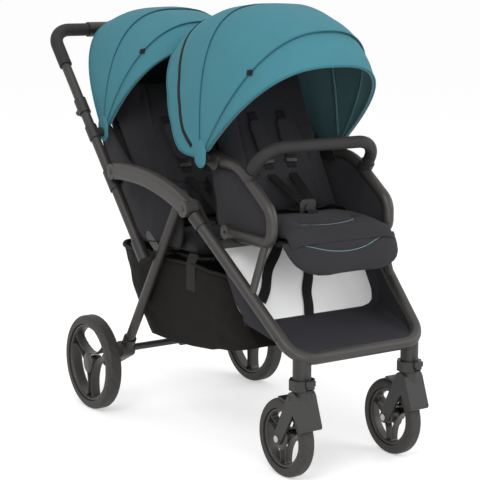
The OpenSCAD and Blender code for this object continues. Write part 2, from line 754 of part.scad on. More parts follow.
// The front seat's side hoops, struts and cross tube
module front_seat_frame() color(frame_color) placed() {
    hoop = [hoop_top, hoop_shoulder, hoop_knee, [hoop_front_y, rail_z], [front_pivot.x - 4, rail_z]];
    tube = front_leg_at(seat_tube_z);
    strut_foot = front_leg_at(rail_z - 122);
    difference() {
        union() {
            both() {
                bent_tube([for (p = hoop) at_x(hoop_half, p)], [130, 45, 28], hoop_d);
                cross_rod(front_pivot, hoop_half - hoop_d / 2 + 2, hoop_half + hoop_d / 2 - 2, 34);
                rod([hoop_half, hoop_front_y + 24, rail_z], strut_foot, 18);
            }
            cross_rod([tube.y, seat_tube_z], -tube.x, tube.x, seat_tube_d);
        }
        front_tube_shape(seat_fit);
        cross_rod(front_pivot, -2 * hoop_half, 2 * hoop_half, pivot_d + 2 * run_fit);
    }
}

// The tray under the front seat pad, seated on the cross tube, with lugs for the leg rest
module front_seat_base() color(plastic_color) placed() {
    tube = front_leg_at(seat_tube_z);
    length = front_pad_len - 10;
    lug_x = leg_rest_barrel_half + gap;
    rib_pitch = front_half / 3;
    pocket_w = rib_pitch - 21.5;
    tray_rim = 30;
    difference() {
        translate([-front_half, front_pad_y0 + 10, front_base_z]) cube([2 * front_half, length, front_base_t]);
        cross_rod([tube.y, seat_tube_z], -tube.x, tube.x, seat_tube_d + 2 * seat_fit);
        for (i = [-2 : 2]) translate([i * rib_pitch - pocket_w / 2, front_pad_y0 + tray_rim, front_base_z - 1])
            cube([pocket_w, length - 4 * tray_rim, front_base_t / 2 + 1]);
    }
    both() difference() {
        along_x(lug_x, lug_x + lug_t)
            arm_outline(leg_rest_pivot, [front_pad_y0 + 18, front_base_z + front_base_t / 2], lug_r, 6);
        cross_rod(leg_rest_pivot, 0, lug_x + lug_t + 1, pivot_d + 2 * run_fit);
    }
}

module front_seat_pad() color(fabric_color) placed()
    translate([0, front_pad_mid, front_pad_z]) slotted_cushion(2 * front_half, front_pad_len, front_pad_t,
        [[0, front_buckle_y - crotch_slot_ahead - front_pad_mid]]);

// Fabric side panels inside the front hoops
module front_seat_wings() color(fabric_color) placed() both() {
    inset = hoop_d / 2 - 4;
    along_x(front_half + gap, front_half + gap + wing_t) polygon([
        hoop_top + [16, -inset], hoop_shoulder + [4, -inset], hoop_knee + [6, -inset],
        [hoop_front_y + 6, front_pad_z + 6], [front_pad_y1 - 8, front_pad_z + 6],
        [front_pad_y1 + 40, front_pad_z + 60], hoop_top + [28, -22]]);
}

// A backrest's own frame at its pivot: Y up the back and Z towards the sitter
module on_back(pivot, lean) translate([0, pivot.x, pivot.y]) rotate([90 - lean, 0, 0]) children();

// A back board with its barrel and the pins at the barrel's ends
module back_board(pivot, lean, half, length, pin_half) on_back(pivot, lean) {
    difference() {
        union() {
            translate([0, length / 2 + 5, -board_t / 2]) linear_extrude(board_t, center = true)
                round_rect(2 * half, length - 10, 30);
            translate([-half + 12, 0, -board_t]) cube([2 * half - 24, 40, board_t]);
            rotate([0, 90, 0]) cylinder(h = 2 * half, d = 18, center = true);
        }
        for (i = [-1, 1], j = [0 : 2]) translate([i * half * 0.45, length * (0.36 + 0.2 * j), -board_t / 2])
            linear_extrude(board_t + 2, center = true) round_rect(half * 0.55, 34, 12);
    }
    rotate([0, 90, 0]) cylinder(h = 2 * pin_half, d = pivot_d, center = true);
}

module back_pad(pivot, lean, half, length) on_back(pivot, lean) {
    pad_len = length - back_start;
    translate([0, back_start + pad_len / 2, gap]) slotted_cushion(2 * half, pad_len, back_pad_t,
        [for (k = [-1, 1]) [k * strap_half, pad_len * shoulder_slot_share]]);
}

module front_back_board() color(plastic_color) placed()
    back_board(front_pivot, front_lean, front_half - 2, front_back_len, hoop_half + 6);

module front_back_pad() color(fabric_color) placed()
    back_pad(front_pivot, front_lean, front_half - 2, front_back_len);

// The leg rest: a cushion with a barrel and pins that turn in the seat tray's lugs
module leg_rest() color(fabric_color) placed() translate([0, leg_rest_pivot.x, leg_rest_pivot.y]) {
    pin_end = leg_rest_barrel_half + gap + lug_t;
    difference() {
        rotate([leg_rest_droop, 0, 0]) translate([0, -leg_rest_len / 2 - 2, -leg_rest_t / 2])
            cushion(2 * leg_rest_half, leg_rest_len, leg_rest_t, 12);
        both() cross_rod([0, 0], leg_rest_barrel_half - gap, pin_end + gap, 2 * (lug_r + gap));
    }
    cross_rod([0, 0], -leg_rest_barrel_half, leg_rest_barrel_half, leg_rest_barrel);
    cross_rod([0, 0], -pin_end, pin_end, pivot_d);
}

module bumper_sockets() color(plastic_color) placed() both() difference() {
    rod(at_x(hoop_half, bumper_mid), at_x(hoop_half, bumper_mid + bumper_dir * socket_h), socket_d);
    rod(at_x(hoop_half, hoop_shoulder * 2 - hoop_knee), at_x(hoop_half, hoop_knee * 2 - hoop_shoulder),
        hoop_d + 2 * seat_fit);
    rod(at_x(hoop_half, bumper_mid), at_x(hoop_half, bumper_mid + bumper_dir * (socket_h + 1)),
        pivot_pin_d + 2 * run_fit);
}

// The bumper bar: foam over a tube, with a pin in its left socket that it swings on
module bumper_bar() color(rubber_color) placed() {
    foot = bumper_mid + bumper_dir * (socket_h + gap);
    top = bumper_mid + bumper_dir * bumper_rise;
    bent_tube([at_x(-hoop_half, foot), at_x(-hoop_half, top), at_x(hoop_half, top), at_x(hoop_half, foot)],
        [bumper_bend, bumper_bend], bumper_d);
    rod(at_x(-hoop_half, foot - bumper_dir * 7), at_x(-hoop_half, foot + bumper_dir * 2), pivot_pin_d);
}

// A harness buckle on a pad, with a round recess for its button
module buckle(pad_z, y) translate([0, y, pad_z]) difference() {
    translate([0, 0, buckle_h / 2]) rotate([90, 0, 0]) linear_extrude(buckle_t, center = true)
        round_rect(buckle_w, buckle_h, 10);
    translate([0, 0, buckle_h / 2]) rotate([90, 0, 0]) cylinder(h = buckle_t, d = button_d + 2 * gap);
}

module buckle_button(pad_z, y) translate([0, y - button_travel - 1, pad_z + buckle_h / 2])
    rotate([90, 0, 0]) cylinder(h = buckle_t / 2, d = button_d);

module front_buckle() color(plastic_color) placed() buckle(front_buckle_z, front_buckle_y);

module front_buckle_button() color(rubber_color) placed() buckle_button(front_buckle_z, front_buckle_y);

module rear_buckle() color(plastic_color) placed() buckle(rear_buckle_z, rear_buckle_y);

module rear_buckle_button() color(rubber_color) placed() buckle_button(rear_buckle_z, rear_buckle_y);

// An arch across the stroller: straight sides under a half circle, out to radius r
module arch_outline(r, half) {
    translate([0, -half]) square([r - half, 2 * half]);
    translate([r - half, 0]) circle(half, $fn = 96);
}

// A canopy panel between two angles, nested inside the one behind it by its level
module canopy_panel(hub, r, half, level, a0, a1) {
    inset = level * panel_step;
    difference() {
        about_x(hub, a0, a1) difference() {
            arch_outline(r - inset, half - inset);
            arch_outline(r - inset - canopy_wall, half - inset - canopy_wall);
            translate([-half - 1, -half - 1]) square([half + 10, 2 * half + 2]);
        }
        cross_rod(hub, -half - 1, half + 1, pivot_d + 2 * run_fit);
    }
    both() difference() {
        cross_rod(hub, half - inset - canopy_wall + disc_inset, half - inset - disc_inset, hub_d);
        cross_rod(hub, 0, half + 1, pivot_d + 2 * run_fit);
    }
}

// Hubs on the tops of the front hoops that carry the front canopy
module front_canopy_hubs() color(plastic_color) placed() both() {
    x = hoop_half + hoop_d / 2;
    difference() {
        union() {
            along_x(front_half + wing_t + 2 * gap, x + 4) arm_outline(hoop_top + [-10, 0], front_hub, 19, 16);
            cross_rod(front_hub, x + 4, front_canopy_half - canopy_wall - 2 * panel_step - gap, hub_d);
        }
        rod(at_x(hoop_half, hoop_top - [60, 0]), at_x(hoop_half, hoop_top), hoop_d + 2 * seat_fit);
    }
    cross_rod(front_hub, x, front_canopy_half + 3, pivot_d);
}

module front_canopy_rear() color(canopy_color) placed()
    canopy_panel(front_hub, front_canopy_r, front_canopy_half, 0, front_bow_angle - panel_lap, front_rear_angle);

module front_canopy_middle() color(canopy_color) placed()
    canopy_panel(front_hub, front_canopy_r, front_canopy_half, 1, front_seam_angle - panel_lap, front_bow_angle);

module front_canopy_visor() color(canopy_color) placed()
    canopy_panel(front_hub, front_canopy_r, front_canopy_half, 2, front_visor_angle, front_seam_angle);

module rear_canopy_rear() color(canopy_color) placed()
    canopy_panel(rear_hub, rear_canopy_r, rear_canopy_half, 0, rear_bow_angle - panel_lap, rear_rear_angle);

module rear_canopy_middle() color(canopy_color) placed()
    canopy_panel(rear_hub, rear_canopy_r, rear_canopy_half, 1, rear_seam_angle - panel_lap, rear_bow_angle);

module rear_canopy_visor() color(canopy_color) placed()
    canopy_panel(rear_hub, rear_canopy_r, rear_canopy_half, 2, rear_visor_angle, rear_seam_angle);

// The rear seat's cross bar behind the rear legs, its rails and the backrest's pivot lugs
module rear_seat_frame() color(frame_color) placed() {
    reach = pusher_half - pusher_d / 2 - 1;
    root = latch_bar - [2, 0];
    front = [rear_pad_y0 + 28, root.y];
    lug_x = rear_pad_half + 1;
    cross_rod(latch_bar, -reach, reach, seat_bar_d);
    bent_tube([at_x(rear_rail_half, root), at_x(rear_rail_half, front),
        at_x(-rear_rail_half, front), at_x(-rear_rail_half, root)], [40, 40], rear_rail_d);
    both() difference() {
        along_x(lug_x, lug_x + 6) arm_outline(latch_bar, rear_pivot, 14, 12);
        cross_rod(rear_pivot, 0, 2 * lug_x, pivot_d + 2 * run_fit);
    }
}

module rear_seat_pad() color(fabric_color) placed()
    translate([0, rear_pad_mid, rear_pad_z]) slotted_cushion(2 * rear_pad_half, rear_pad_len, rear_pad_t,
        [[0, rear_buckle_y - crotch_slot_ahead - rear_pad_mid]]);

// Fabric side panels of the rear seat, below the armrests
module rear_seat_wings() color(fabric_color) placed() both()
    along_x(rear_wing_x, rear_wing_x + wing_t) polygon([
        [rear_pad_y0 + 60, rear_pad_z + 20], [rear_pad_y1 - 40, rear_pad_z + 20],
        rear_pivot + [18, 34], rear_pivot + [96, 142], rear_pivot + [20, 150],
        [rear_pad_y0 + 70, rear_pad_z + 130]]);

module rear_back_board() color(plastic_color) placed()
    back_board(rear_pivot, rear_lean, rear_board_half, rear_back_len, rear_pad_half + 7);

module rear_back_pad() color(fabric_color) placed()
    back_pad(rear_pivot, rear_lean, rear_board_half, rear_back_len);

// The basket: a fabric tub with a dropped rim, hung by tabs from the seat's cross tube
module basket() color(fabric_color) placed() {
    tube = front_leg_at(seat_tube_z);
    outline = [basket_front_low, basket_back, basket_top_back, basket_top_back - [150, 34],
        [0, basket_floor_z + basket_depth], basket_front_top];
    inner = [basket_front_low + [basket_wall, basket_wall], basket_back + [-basket_wall, basket_wall],
        basket_top_back + [-basket_wall, mouth_cut], basket_front_top + [basket_wall, mouth_cut]];
    difference() {
        along_x(-basket_half, basket_half) polygon(outline);
        along_x(-basket_half + basket_wall, basket_half - basket_wall) polygon(inner);
    }
    both() translate([basket_half - basket_wall, tube.y - tab_w / 2, basket_floor_z + basket_depth / 2])
        cube([basket_wall, tab_w, seat_tube_z - seat_tube_d / 2 - gap - basket_floor_z - basket_depth / 2]);
}

// The footwell: a fabric tray from the crossbar back to the basket, between the front legs
module footwell() color(fabric_color) placed() {
    front_y = crossbar.x + front_leg_d / 2 + 1;
    back_y = basket_front_y - gap;
    low = [[front_y, crossbar.y + 8], [back_y, crossbar.y + 46]];
    leg_back = front_leg_at(crossbar.y + footwell_rise);
    front_w = crossbar_half - crossbar_bend / 2;
    back_w = leg_back.x - front_leg_d / 2 - footwell_gap;
    difference() {
        intersection() {
            along_x(-back_w, back_w) polygon([low[0], low[1], [back_y, leg_back.z]]);
            linear_extrude(hinge.y) polygon([[-front_w, front_y], [front_w, front_y],
                [back_w, back_y], [-back_w, back_y]]);
        }
        intersection() {
            along_x(-back_w, back_w) polygon([low[0] + [-30, basket_wall - 7], low[1] + [5, basket_wall],
                [back_y + 5, leg_back.z + 90]]);
            linear_extrude(hinge.y) polygon([[-front_w + basket_wall, front_y - over_cut],
                [front_w - basket_wall, front_y - over_cut], [back_w - basket_wall, back_y + 5],
                [-back_w + basket_wall, back_y + 5]]);
        }
        front_tube_shape(seat_fit + gap);
    }
}

front_leg_frame();
leg_hinge(-1);  // leg_hinge_left
leg_hinge(1);  // leg_hinge_right
caster_housing(-1);  // caster_housing_left
caster_housing(1);  // caster_housing_right
swivel_lock(-1);  // swivel_lock_left
swivel_lock(1);  // swivel_lock_right
fork(-1);  // fork_left
fork(1);  // fork_right
front_axle_bolt(-1);  // front_axle_left
front_axle_bolt(1);  // front_axle_right
front_rim(-1);  // front_rim_left
front_rim(1);  // front_rim_right
front_tyre(-1);  // front_tyre_left
front_tyre(1);  // front_tyre_right
rear_leg_frame();
rear_bracket(-1);  // rear_bracket_left
rear_bracket(1);  // rear_bracket_right
rear_axles();
rear_rim(-1);  // rear_rim_left
rear_rim(1);  // rear_rim_right
rear_tyre(-1);  // rear_tyre_left
rear_tyre(1);  // rear_tyre_right
brake_pedal();
armrest(-1);  // armrest_left
armrest(1);  // armrest_right
pusher_frame();
pusher_clamps();
handle_grip(-1);  // handle_grip_left
handle_grip(1);  // handle_grip_right
release_housing();
release_trigger();
stud_collars();
front_seat_frame();
front_seat_base();
front_seat_pad();
front_seat_wings();
front_back_board();
front_back_pad();
leg_rest();
bumper_sockets();
bumper_bar();
front_buckle();
front_buckle_button();
front_canopy_hubs();
front_canopy_rear();
front_canopy_middle();
front_canopy_visor();
rear_seat_frame();
rear_seat_pad();
rear_seat_wings();
rear_back_board();
rear_back_pad();
rear_buckle();
rear_buckle_button();
rear_canopy_rear();
rear_canopy_middle();
rear_canopy_visor();
basket();
footwell();
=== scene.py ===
"""The tandem stroller's canopies, padding, harness and fittings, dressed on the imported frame."""

import logging
from dataclasses import dataclass, field
from enum import Enum

import bmesh
import bpy
import numpy as np
from mathutils import Matrix, Vector
from mathutils.bvhtree import BVHTree


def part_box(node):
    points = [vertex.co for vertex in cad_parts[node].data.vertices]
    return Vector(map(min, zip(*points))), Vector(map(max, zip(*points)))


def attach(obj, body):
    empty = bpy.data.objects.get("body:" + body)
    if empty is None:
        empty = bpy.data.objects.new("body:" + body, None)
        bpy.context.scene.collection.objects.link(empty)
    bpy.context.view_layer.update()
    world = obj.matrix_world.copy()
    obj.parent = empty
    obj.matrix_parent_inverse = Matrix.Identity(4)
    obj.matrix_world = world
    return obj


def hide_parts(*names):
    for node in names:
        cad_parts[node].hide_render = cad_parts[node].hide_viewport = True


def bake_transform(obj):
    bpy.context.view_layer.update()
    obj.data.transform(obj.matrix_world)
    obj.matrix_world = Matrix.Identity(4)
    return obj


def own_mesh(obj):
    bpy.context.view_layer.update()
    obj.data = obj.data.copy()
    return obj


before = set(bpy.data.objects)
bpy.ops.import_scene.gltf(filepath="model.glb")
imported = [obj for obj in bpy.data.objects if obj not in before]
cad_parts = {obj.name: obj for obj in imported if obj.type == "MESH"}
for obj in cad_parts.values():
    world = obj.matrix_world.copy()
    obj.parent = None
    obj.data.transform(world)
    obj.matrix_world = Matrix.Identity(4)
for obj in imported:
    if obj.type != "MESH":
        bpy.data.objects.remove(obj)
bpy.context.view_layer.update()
LOG = logging.getLogger("stroller")

MM = 0.001
REAR_AXLE = (369.0, 124.0)
FRONT_AXLE = (-369.0, 91.5)
AXLE_LOW, AXLE_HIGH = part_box("rear_axles")
Y_SHIFT = (AXLE_LOW[1] + AXLE_HIGH[1]) / (2 * MM) - REAR_AXLE[0]
SIDES = {-1: "left", 1: "right"}
ACROSS, ALONG, UP = np.eye(3)
LEAST_AREA = 0.31
ALMOST_ALL = 0.9995


class Body(str, Enum):
    """The CAD bodies that pieces ride on."""

    FRONT = "front_frame"
    HANDLE = "handle_frame"
    ARMS = "armrests"
    REAR_LEGS = "rear_legs"
    CASTER_LEFT = "caster_left"
    CASTER_RIGHT = "caster_right"
    FRONT_WHEEL_LEFT = "front_wheel_left"
    FRONT_WHEEL_RIGHT = "front_wheel_right"
    REAR_WHEEL_LEFT = "rear_wheel_left"
    REAR_WHEEL_RIGHT = "rear_wheel_right"
    FRONT_BACK = "front_backrest"
    REAR_BACK = "rear_backrest"
    CALF = "calf_rest"
    FRONT_VISOR = "front_hood_visor"
    FRONT_MIDDLE = "front_hood_middle"
    REAR_VISOR = "rear_hood_visor"
    REAR_MIDDLE = "rear_hood_middle"


class Pattern(Enum):
    """The relief that a grained finish carries."""

    NOISE = "TexNoise"
    CELLS = "TexVoronoi"


class Hold(str, Enum):
    """How a sheet of cloth is kept in place."""

    STRETCHED = "stretched"
    HUNG = "hung"


def linear(hex_colour: str) -> tuple[float, float, float, float]:
    """Turns an sRGB colour into the linear one that shaders take.

    Args:
        hex_colour: the colour as "#RRGGBB".

    Returns:
        Linear red, green, blue and an alpha of one.
    """
    srgb = np.array([int(hex_colour[i : i + 2], 16) for i in (1, 3, 5)]) / 255
    low = srgb / 12.92
    high = ((srgb + 0.055) / 1.055) ** 2.4
    return (*np.where(srgb <= 0.04045, low, high).tolist(), 1.0)


def add_node(
    tree: bpy.types.NodeTree, kind: str, inputs: dict | None = None, **settings: object
) -> bpy.types.Node:
    """Adds a shader node, sets it up and links it.

    Args:
        tree: the node tree to add to.
        kind: the node's type, without its prefix.
        inputs: values, or sockets to link from, by the input's name or number.
        settings: the node's own properties.

    Returns:
        The new node.
    """
    node = tree.nodes.new(f"ShaderNode{kind}")
    for key, value in settings.items():
        setattr(node, key, value)
    for key, value in (inputs or {}).items():
        if isinstance(value, bpy.types.NodeSocket):
            tree.links.new(value, node.inputs[key])
        else:
            node.inputs[key].default_value = value
    return node


@dataclass(frozen=True)
class Finish:
    """A procedural surface: a real material, its colour and how it takes the light."""

    name: str
    colour: str
    roughness: float
    metallic: float = 0.0
    sheen: float = 0.0
    shine: float = 0.5

    def material(self) -> bpy.types.Material:
        """Makes the material once and hands the same one out after that.

        Returns:
            The Blender material.
        """
        found = bpy.data.materials.get(self.name)
        if found:
            return found
        material = bpy.data.materials.new(self.name)
        material.use_nodes = True
        tree = material.node_tree
        tree.nodes.clear()
        shader = add_node(
            tree,
            "BsdfPrincipled",
            {
                "Base Color": linear(self.colour),
                "Roughness": self.roughness,
                "Metallic": self.metallic,
                "Sheen Weight": self.sheen,
                "Specular IOR Level": self.shine,
            },
        )
        add_node(tree, "OutputMaterial", {"Surface": self.texture(tree, shader)})
        return material

    def texture(self, tree: bpy.types.NodeTree, shader: bpy.types.Node) -> bpy.types.NodeSocket:
        """Adds the finish's pattern to the shader.

        Args:
            tree: the material's node tree.
            shader: its principled shader.

        Returns:
            The socket that feeds the material's output.
        """
        return shader.outputs["BSDF"]


@dataclass(frozen=True)
class Grain(Finish):
    """A hard or foamed surface with a fine grain in relief and a slight drift of roughness.

    The real grain is a few tenths of a millimetre, too fine to show, so it is drawn coarser.
    """

    grain_mm: float = 1.0
    relief_mm: float = 0.05
    strength: float = 0.6
    pattern: Pattern = Pattern.NOISE
    cloud_mm: float = 60.0
    drift: float = 0.12

    def texture(self, tree: bpy.types.NodeTree, shader: bpy.types.Node) -> bpy.types.NodeSocket:
        """Raises noise or foam cells as relief, and lets a broad noise vary the roughness.

        Args:
            tree: the material's node tree.
            shader: its principled shader.

        Returns:
            The shader's own socket.
        """
        place = add_node(tree, "TexCoord").outputs["Object"]
        grain = add_node(tree, self.pattern.value, {"Vector": place, "Scale": 1 / (self.grain_mm * MM)})
        height = grain.outputs["Fac" if self.pattern is Pattern.NOISE else "Distance"]
        relief = {"Height": height, "Distance": self.relief_mm * MM, "Strength": self.strength}
        bump = add_node(tree, "Bump", relief)
        tree.links.new(bump.outputs["Normal"], shader.inputs["Normal"])
        cloud = add_node(tree, "TexNoise", {"Vector": place, "Scale": 1 / (self.cloud_mm * MM)})
        rough = add_node(
            tree,
            "MapRange",
            {
                "Value": cloud.outputs["Fac"],
                "To Min": self.roughness * (1 - self.drift),
                "To Max": self.roughness * (1 + self.drift),
            },
        )
        tree.links.new(rough.outputs["Result"], shader.inputs["Roughness"])
        return shader.outputs["BSDF"]


@dataclass(frozen=True)
class Tread(Finish):
    """Tyre rubber with chevron grooves round an axle, cut into the shoulders of the tread."""

    axle: tuple[float, float] = REAR_AXLE
    radius_mm: float = 124.0
    groove_mm: float = 15.0
    depth_mm: float = 1.6
    strength: float = 0.9
    slant_per_mm: float = 0.22
    groove_wave: tuple[float, float] = (-0.97, -0.84)
    shoulder_mm: tuple[float, float] = (13.0, 9.0)

    def texture(self, tree: bpy.types.NodeTree, shader: bpy.types.Node) -> bpy.types.NodeSocket:
        """Cuts a groove where a sine of the angle round the axle, slanted by the width, is lowest.

        Args:
            tree: the material's node tree.
            shader: its principled shader.

        Returns:
            The shader's own socket.
        """
        place = add_node(tree, "TexCoord").outputs["Object"]
        centre = (0.0, (self.axle[0] + Y_SHIFT) * MM, self.axle[1] * MM)
        offset = add_node(tree, "VectorMath", {0: place, 1: centre}, operation="SUBTRACT")
        x, y, z = add_node(tree, "SeparateXYZ", {"Vector": offset.outputs[0]}).outputs
        angle = add_node(tree, "Math", {0: z, 1: y}, operation="ARCTAN2").outputs[0]
        blocks = round(2 * np.pi * self.radius_mm / self.groove_mm)
        turn = add_node(tree, "Math", {0: angle, 1: float(blocks)}, operation="MULTIPLY").outputs[0]
        width = add_node(tree, "Math", {0: x}, operation="ABSOLUTE").outputs[0]
        slant = add_node(tree, "Math", {0: width, 1: self.slant_per_mm / MM}, operation="MULTIPLY").outputs[0]
        chevron = add_node(tree, "Math", {0: turn, 1: slant}, operation="ADD").outputs[0]
        wave = add_node(tree, "Math", {0: chevron}, operation="SINE").outputs[0]
        low, high = self.groove_wave
        groove = add_node(
            tree,
            "MapRange",
            {"Value": wave, "From Min": low, "From Max": high},
            interpolation_type="SMOOTHSTEP",
        )
        reach = add_node(tree, "CombineXYZ", {"Y": y, "Z": z}).outputs[0]
        radius = add_node(tree, "VectorMath", {0: reach}, operation="LENGTH").outputs["Value"]
        low, high = ((self.radius_mm - below) * MM for below in self.shoulder_mm)
        on_tread = add_node(
            tree,
            "MapRange",
            {"Value": radius, "From Min": low, "From Max": high},
            interpolation_type="SMOOTHSTEP",
        )
        depth = add_node(tree, "Mix", {0: on_tread.outputs["Result"], 2: 1.0, 3: groove.outputs["Result"]})
        relief = {"Height": depth.outputs[0], "Distance": self.depth_mm * MM, "Strength": self.strength}
        bump = add_node(tree, "Bump", relief)
        tree.links.new(bump.outputs["Normal"], shader.inputs["Normal"])
        return shader.outputs["BSDF"]


@dataclass(frozen=True)
class Weave(Finish):
    """Plain woven cloth: yarns over and under each other, with a soft drift of tone across the piece.

    The real yarns lie about 0.4 mm apart, too fine to show, so they are drawn two to five times as coarse.
    """

    shine: float = 0.18
    pitch_mm: float = 1.2
    relief_mm: float = 0.12
    strength: float = 0.5
    cloud_mm: float = 45.0
    drift: float = 0.1
    flat: bool = True

    def texture(self, tree: bpy.types.NodeTree, shader: bpy.types.Node) -> bpy.types.NodeSocket:
        """Raises yarns as a product of sines across and along, and scales the colour by a broad noise.

        Args:
            tree: the material's node tree.
            shader: its principled shader.

        Returns:
            The shader's own socket.
        """
        coord = add_node(tree, "TexCoord")
        source = coord.outputs["UV" if self.flat else "Object"]
        pace = (2 * np.pi / self.pitch_mm * (1 if self.flat else 1 / MM),) * 3
        phase = add_node(tree, "VectorMath", {0: source, 1: pace}, operation="MULTIPLY").outputs[0]
        yarns = add_node(tree, "VectorMath", {0: phase}, operation="SINE").outputs[0]
        x, y, z = add_node(tree, "SeparateXYZ", {"Vector": yarns}).outputs
        weft = add_node(tree, "Math", {0: y, 1: z}, operation="ADD").outputs[0]
        over = add_node(tree, "Math", {0: x, 1: weft}, operation="MULTIPLY").outputs[0]
        relief = {"Height": over, "Distance": self.relief_mm * MM, "Strength": self.strength}
        bump = add_node(tree, "Bump", relief)
        tree.links.new(bump.outputs["Normal"], shader.inputs["Normal"])
        clouds = {"Vector": coord.outputs["Object"], "Scale": 1 / (self.cloud_mm * MM), "Detail": 3.0}
        cloud = add_node(tree, "TexNoise", clouds).outputs["Fac"]
        drift = {"Value": cloud, "To Min": 1 - self.drift, "To Max": 1 + self.drift}
        tone = add_node(tree, "MapRange", drift).outputs["Result"]
        scaled = {0: linear(self.colour)[:3], "Scale": tone}
        shade = add_node(tree, "VectorMath", scaled, operation="SCALE")
        tree.links.new(shade.outputs[0], shader.inputs["Base Color"])
        return shader.outputs["BSDF"]


@dataclass(frozen=True)
class Net(Finish):
    """Open knitted net: diagonal rows of small holes that show what is behind.

    The real holes lie about 2 mm apart, too fine to show, so they are drawn twice as coarse.
    """

    pitch_mm: float = 4.6
    openness: float = 0.16
    hole_edge: tuple[float, float] = (1.0, 1.3)

    def texture(self, tree: bpy.types.NodeTree, shader: bpy.types.Node) -> bpy.types.NodeSocket:
        """Opens a hole where the sum of a cosine across and one along is highest.

        Args:
            tree: the material's node tree.
            shader: its principled shader.

        Returns:
            The socket of the cloth mixed with clear holes.
        """
        flat = add_node(tree, "TexCoord").outputs["UV"]
        pace = 2 * np.pi / self.pitch_mm
        phase = add_node(tree, "VectorMath", {0: flat, 1: (pace, pace, 0)}, operation="MULTIPLY").outputs[0]
        rows = add_node(tree, "VectorMath", {0: phase}, operation="COSINE").outputs[0]
        x, y, _ = add_node(tree, "SeparateXYZ", {"Vector": rows}).outputs
        knit = add_node(tree, "Math", {0: x, 1: y}, operation="ADD").outputs[0]
        low, high = self.hole_edge
        hole = add_node(
            tree,
            "MapRange",
            {"Value": knit, "From Min": low, "From Max": high, "To Max": self.openness},
            interpolation_type="SMOOTHSTEP",
        )
        clear = add_node(tree, "BsdfTransparent").outputs[0]
        mix = {0: hole.outputs["Result"], 1: shader.outputs["BSDF"], 2: clear}
        return add_node(tree, "MixShader", mix).outputs[0]


# Satin powder coat on the tubes: a soft broad highlight with a faint orange peel
TUBE_COAT = Grain("powder_coated_tube", "#312F2D", 0.44, metallic=0.15, grain_mm=1.6, relief_mm=0.05)
# Armrest shells: fine moulded texture, a little lighter and flatter than the tubes
ARMREST = Grain("textured_armrest_plastic", "#343230", 0.5, grain_mm=0.9, relief_mm=0.06)
# Glass-filled nylon castings: dark, with a fine spark-eroded grain
NYLON = Grain("moulded_nylon", "#1F1D1C", 0.48, grain_mm=0.8, relief_mm=0.07)
# Wheel rims: the same nylon, lighter and slightly glossier
RIM_NYLON = Grain("wheel_rim_nylon", "#3A3836", 0.42, grain_mm=0.8, relief_mm=0.05)
# Closed-cell foam on the grips and bumper: matte and pored
FOAM = Grain("closed_cell_foam", "#141213", 0.72, grain_mm=1.1, relief_mm=0.12, pattern=Pattern.CELLS)
# Soft-touch buttons: dull rubbery black
SOFT_TOUCH = Grain("soft_touch_rubber", "#232122", 0.65, grain_mm=0.7, relief_mm=0.04)
# Zinc-plated steel bolts and rivets: the only bright points on the part
STEEL = Grain("zinc_plated_steel", "#B4B3B1", 0.32, metallic=1.0, grain_mm=0.6, relief_mm=0.02)
# Rear tyres: solid foam rubber with chevrons on the shoulders
REAR_TREAD = Tread("rear_tyre_rubber", "#2B2927", 0.62, axle=REAR_AXLE, radius_mm=124.0, groove_mm=43.0)
# Front tyres: the same rubber on the small wheels
FRONT_TREAD = Tread("front_tyre_rubber", "#2B2927", 0.66, axle=FRONT_AXLE, radius_mm=91.5, groove_mm=36.0)
# Canopy shell: teal polyester with a fine plain weave
CANOPY = Weave("teal_canopy_polyester", "#437C88", 0.85, sheen=0.02, pitch_mm=1.1, drift=0.05)
# Canopy seams: the same cloth rolled over, painted darker as the shade in the roll
SHADED_SEAM = Weave("teal_seam_binding_painted_shade", "#366C77", 0.8, pitch_mm=1.0)
# Canopy liner: grey-green coated lining, seen in the canopy's shade
LINER = Weave("canopy_lining", "#58797F", 0.7, pitch_mm=1.4, drift=0.12)
# Seat cloth: charcoal melange, very matt
SEAT = Weave("charcoal_seat_cloth", "#29292C", 0.85, sheen=0.05, pitch_mm=1.5, relief_mm=0.16, flat=False)
# Seat sides: the same charcoal cloth as flat panels
SEAT_PANEL = Weave("charcoal_side_cloth", "#2A2A2D", 0.85, sheen=0.05, pitch_mm=1.5, relief_mm=0.14)
# Basket cloth: brown-black coarse polyester
BASKET_CLOTH = Weave("basket_polyester", "#110F0D", 0.8, pitch_mm=1.8, relief_mm=0.16, drift=0.16)
# Footwell cloth: heavy charcoal cloth, close to the seat's
FOOT_CLOTH = Weave("footwell_cloth", "#2E2E33", 0.82, pitch_mm=1.8, relief_mm=0.16)
# Harness and edge webbing: tight ribbed polyamide, blackish
WEBBING = Weave("black_webbing", "#161516", 0.7, pitch_mm=2.2, relief_mm=0.25)
# Basket hangers: the same webbing in a lighter charcoal
HANGER = Weave("charcoal_webbing", "#2A2726", 0.75, pitch_mm=2.2, relief_mm=0.2)
# Canopy curtains: thin dark cloth that closes the rear of each canopy
CURTAIN = Weave("curtain_polyester", "#1E2628", 0.85, pitch_mm=1.0, relief_mm=0.08)
# Topstitching: pale teal thread that draws the curves on the front seat and the leg rest
THREAD = Grain("teal_topstitch_thread", "#6F8D93", 0.7, grain_mm=0.5, relief_mm=0.05)
# Ventilation net under the seat: nearly white knit, with the floor showing through
NET = Net("pale_knit_net", "#F3F4F3", 0.8)


def pairs(*names: str) -> list[str]:
    """Names the left and right one of each CAD node that comes twice."""
    return [f"{name}_{side}" for name in names for side in SIDES.values()]


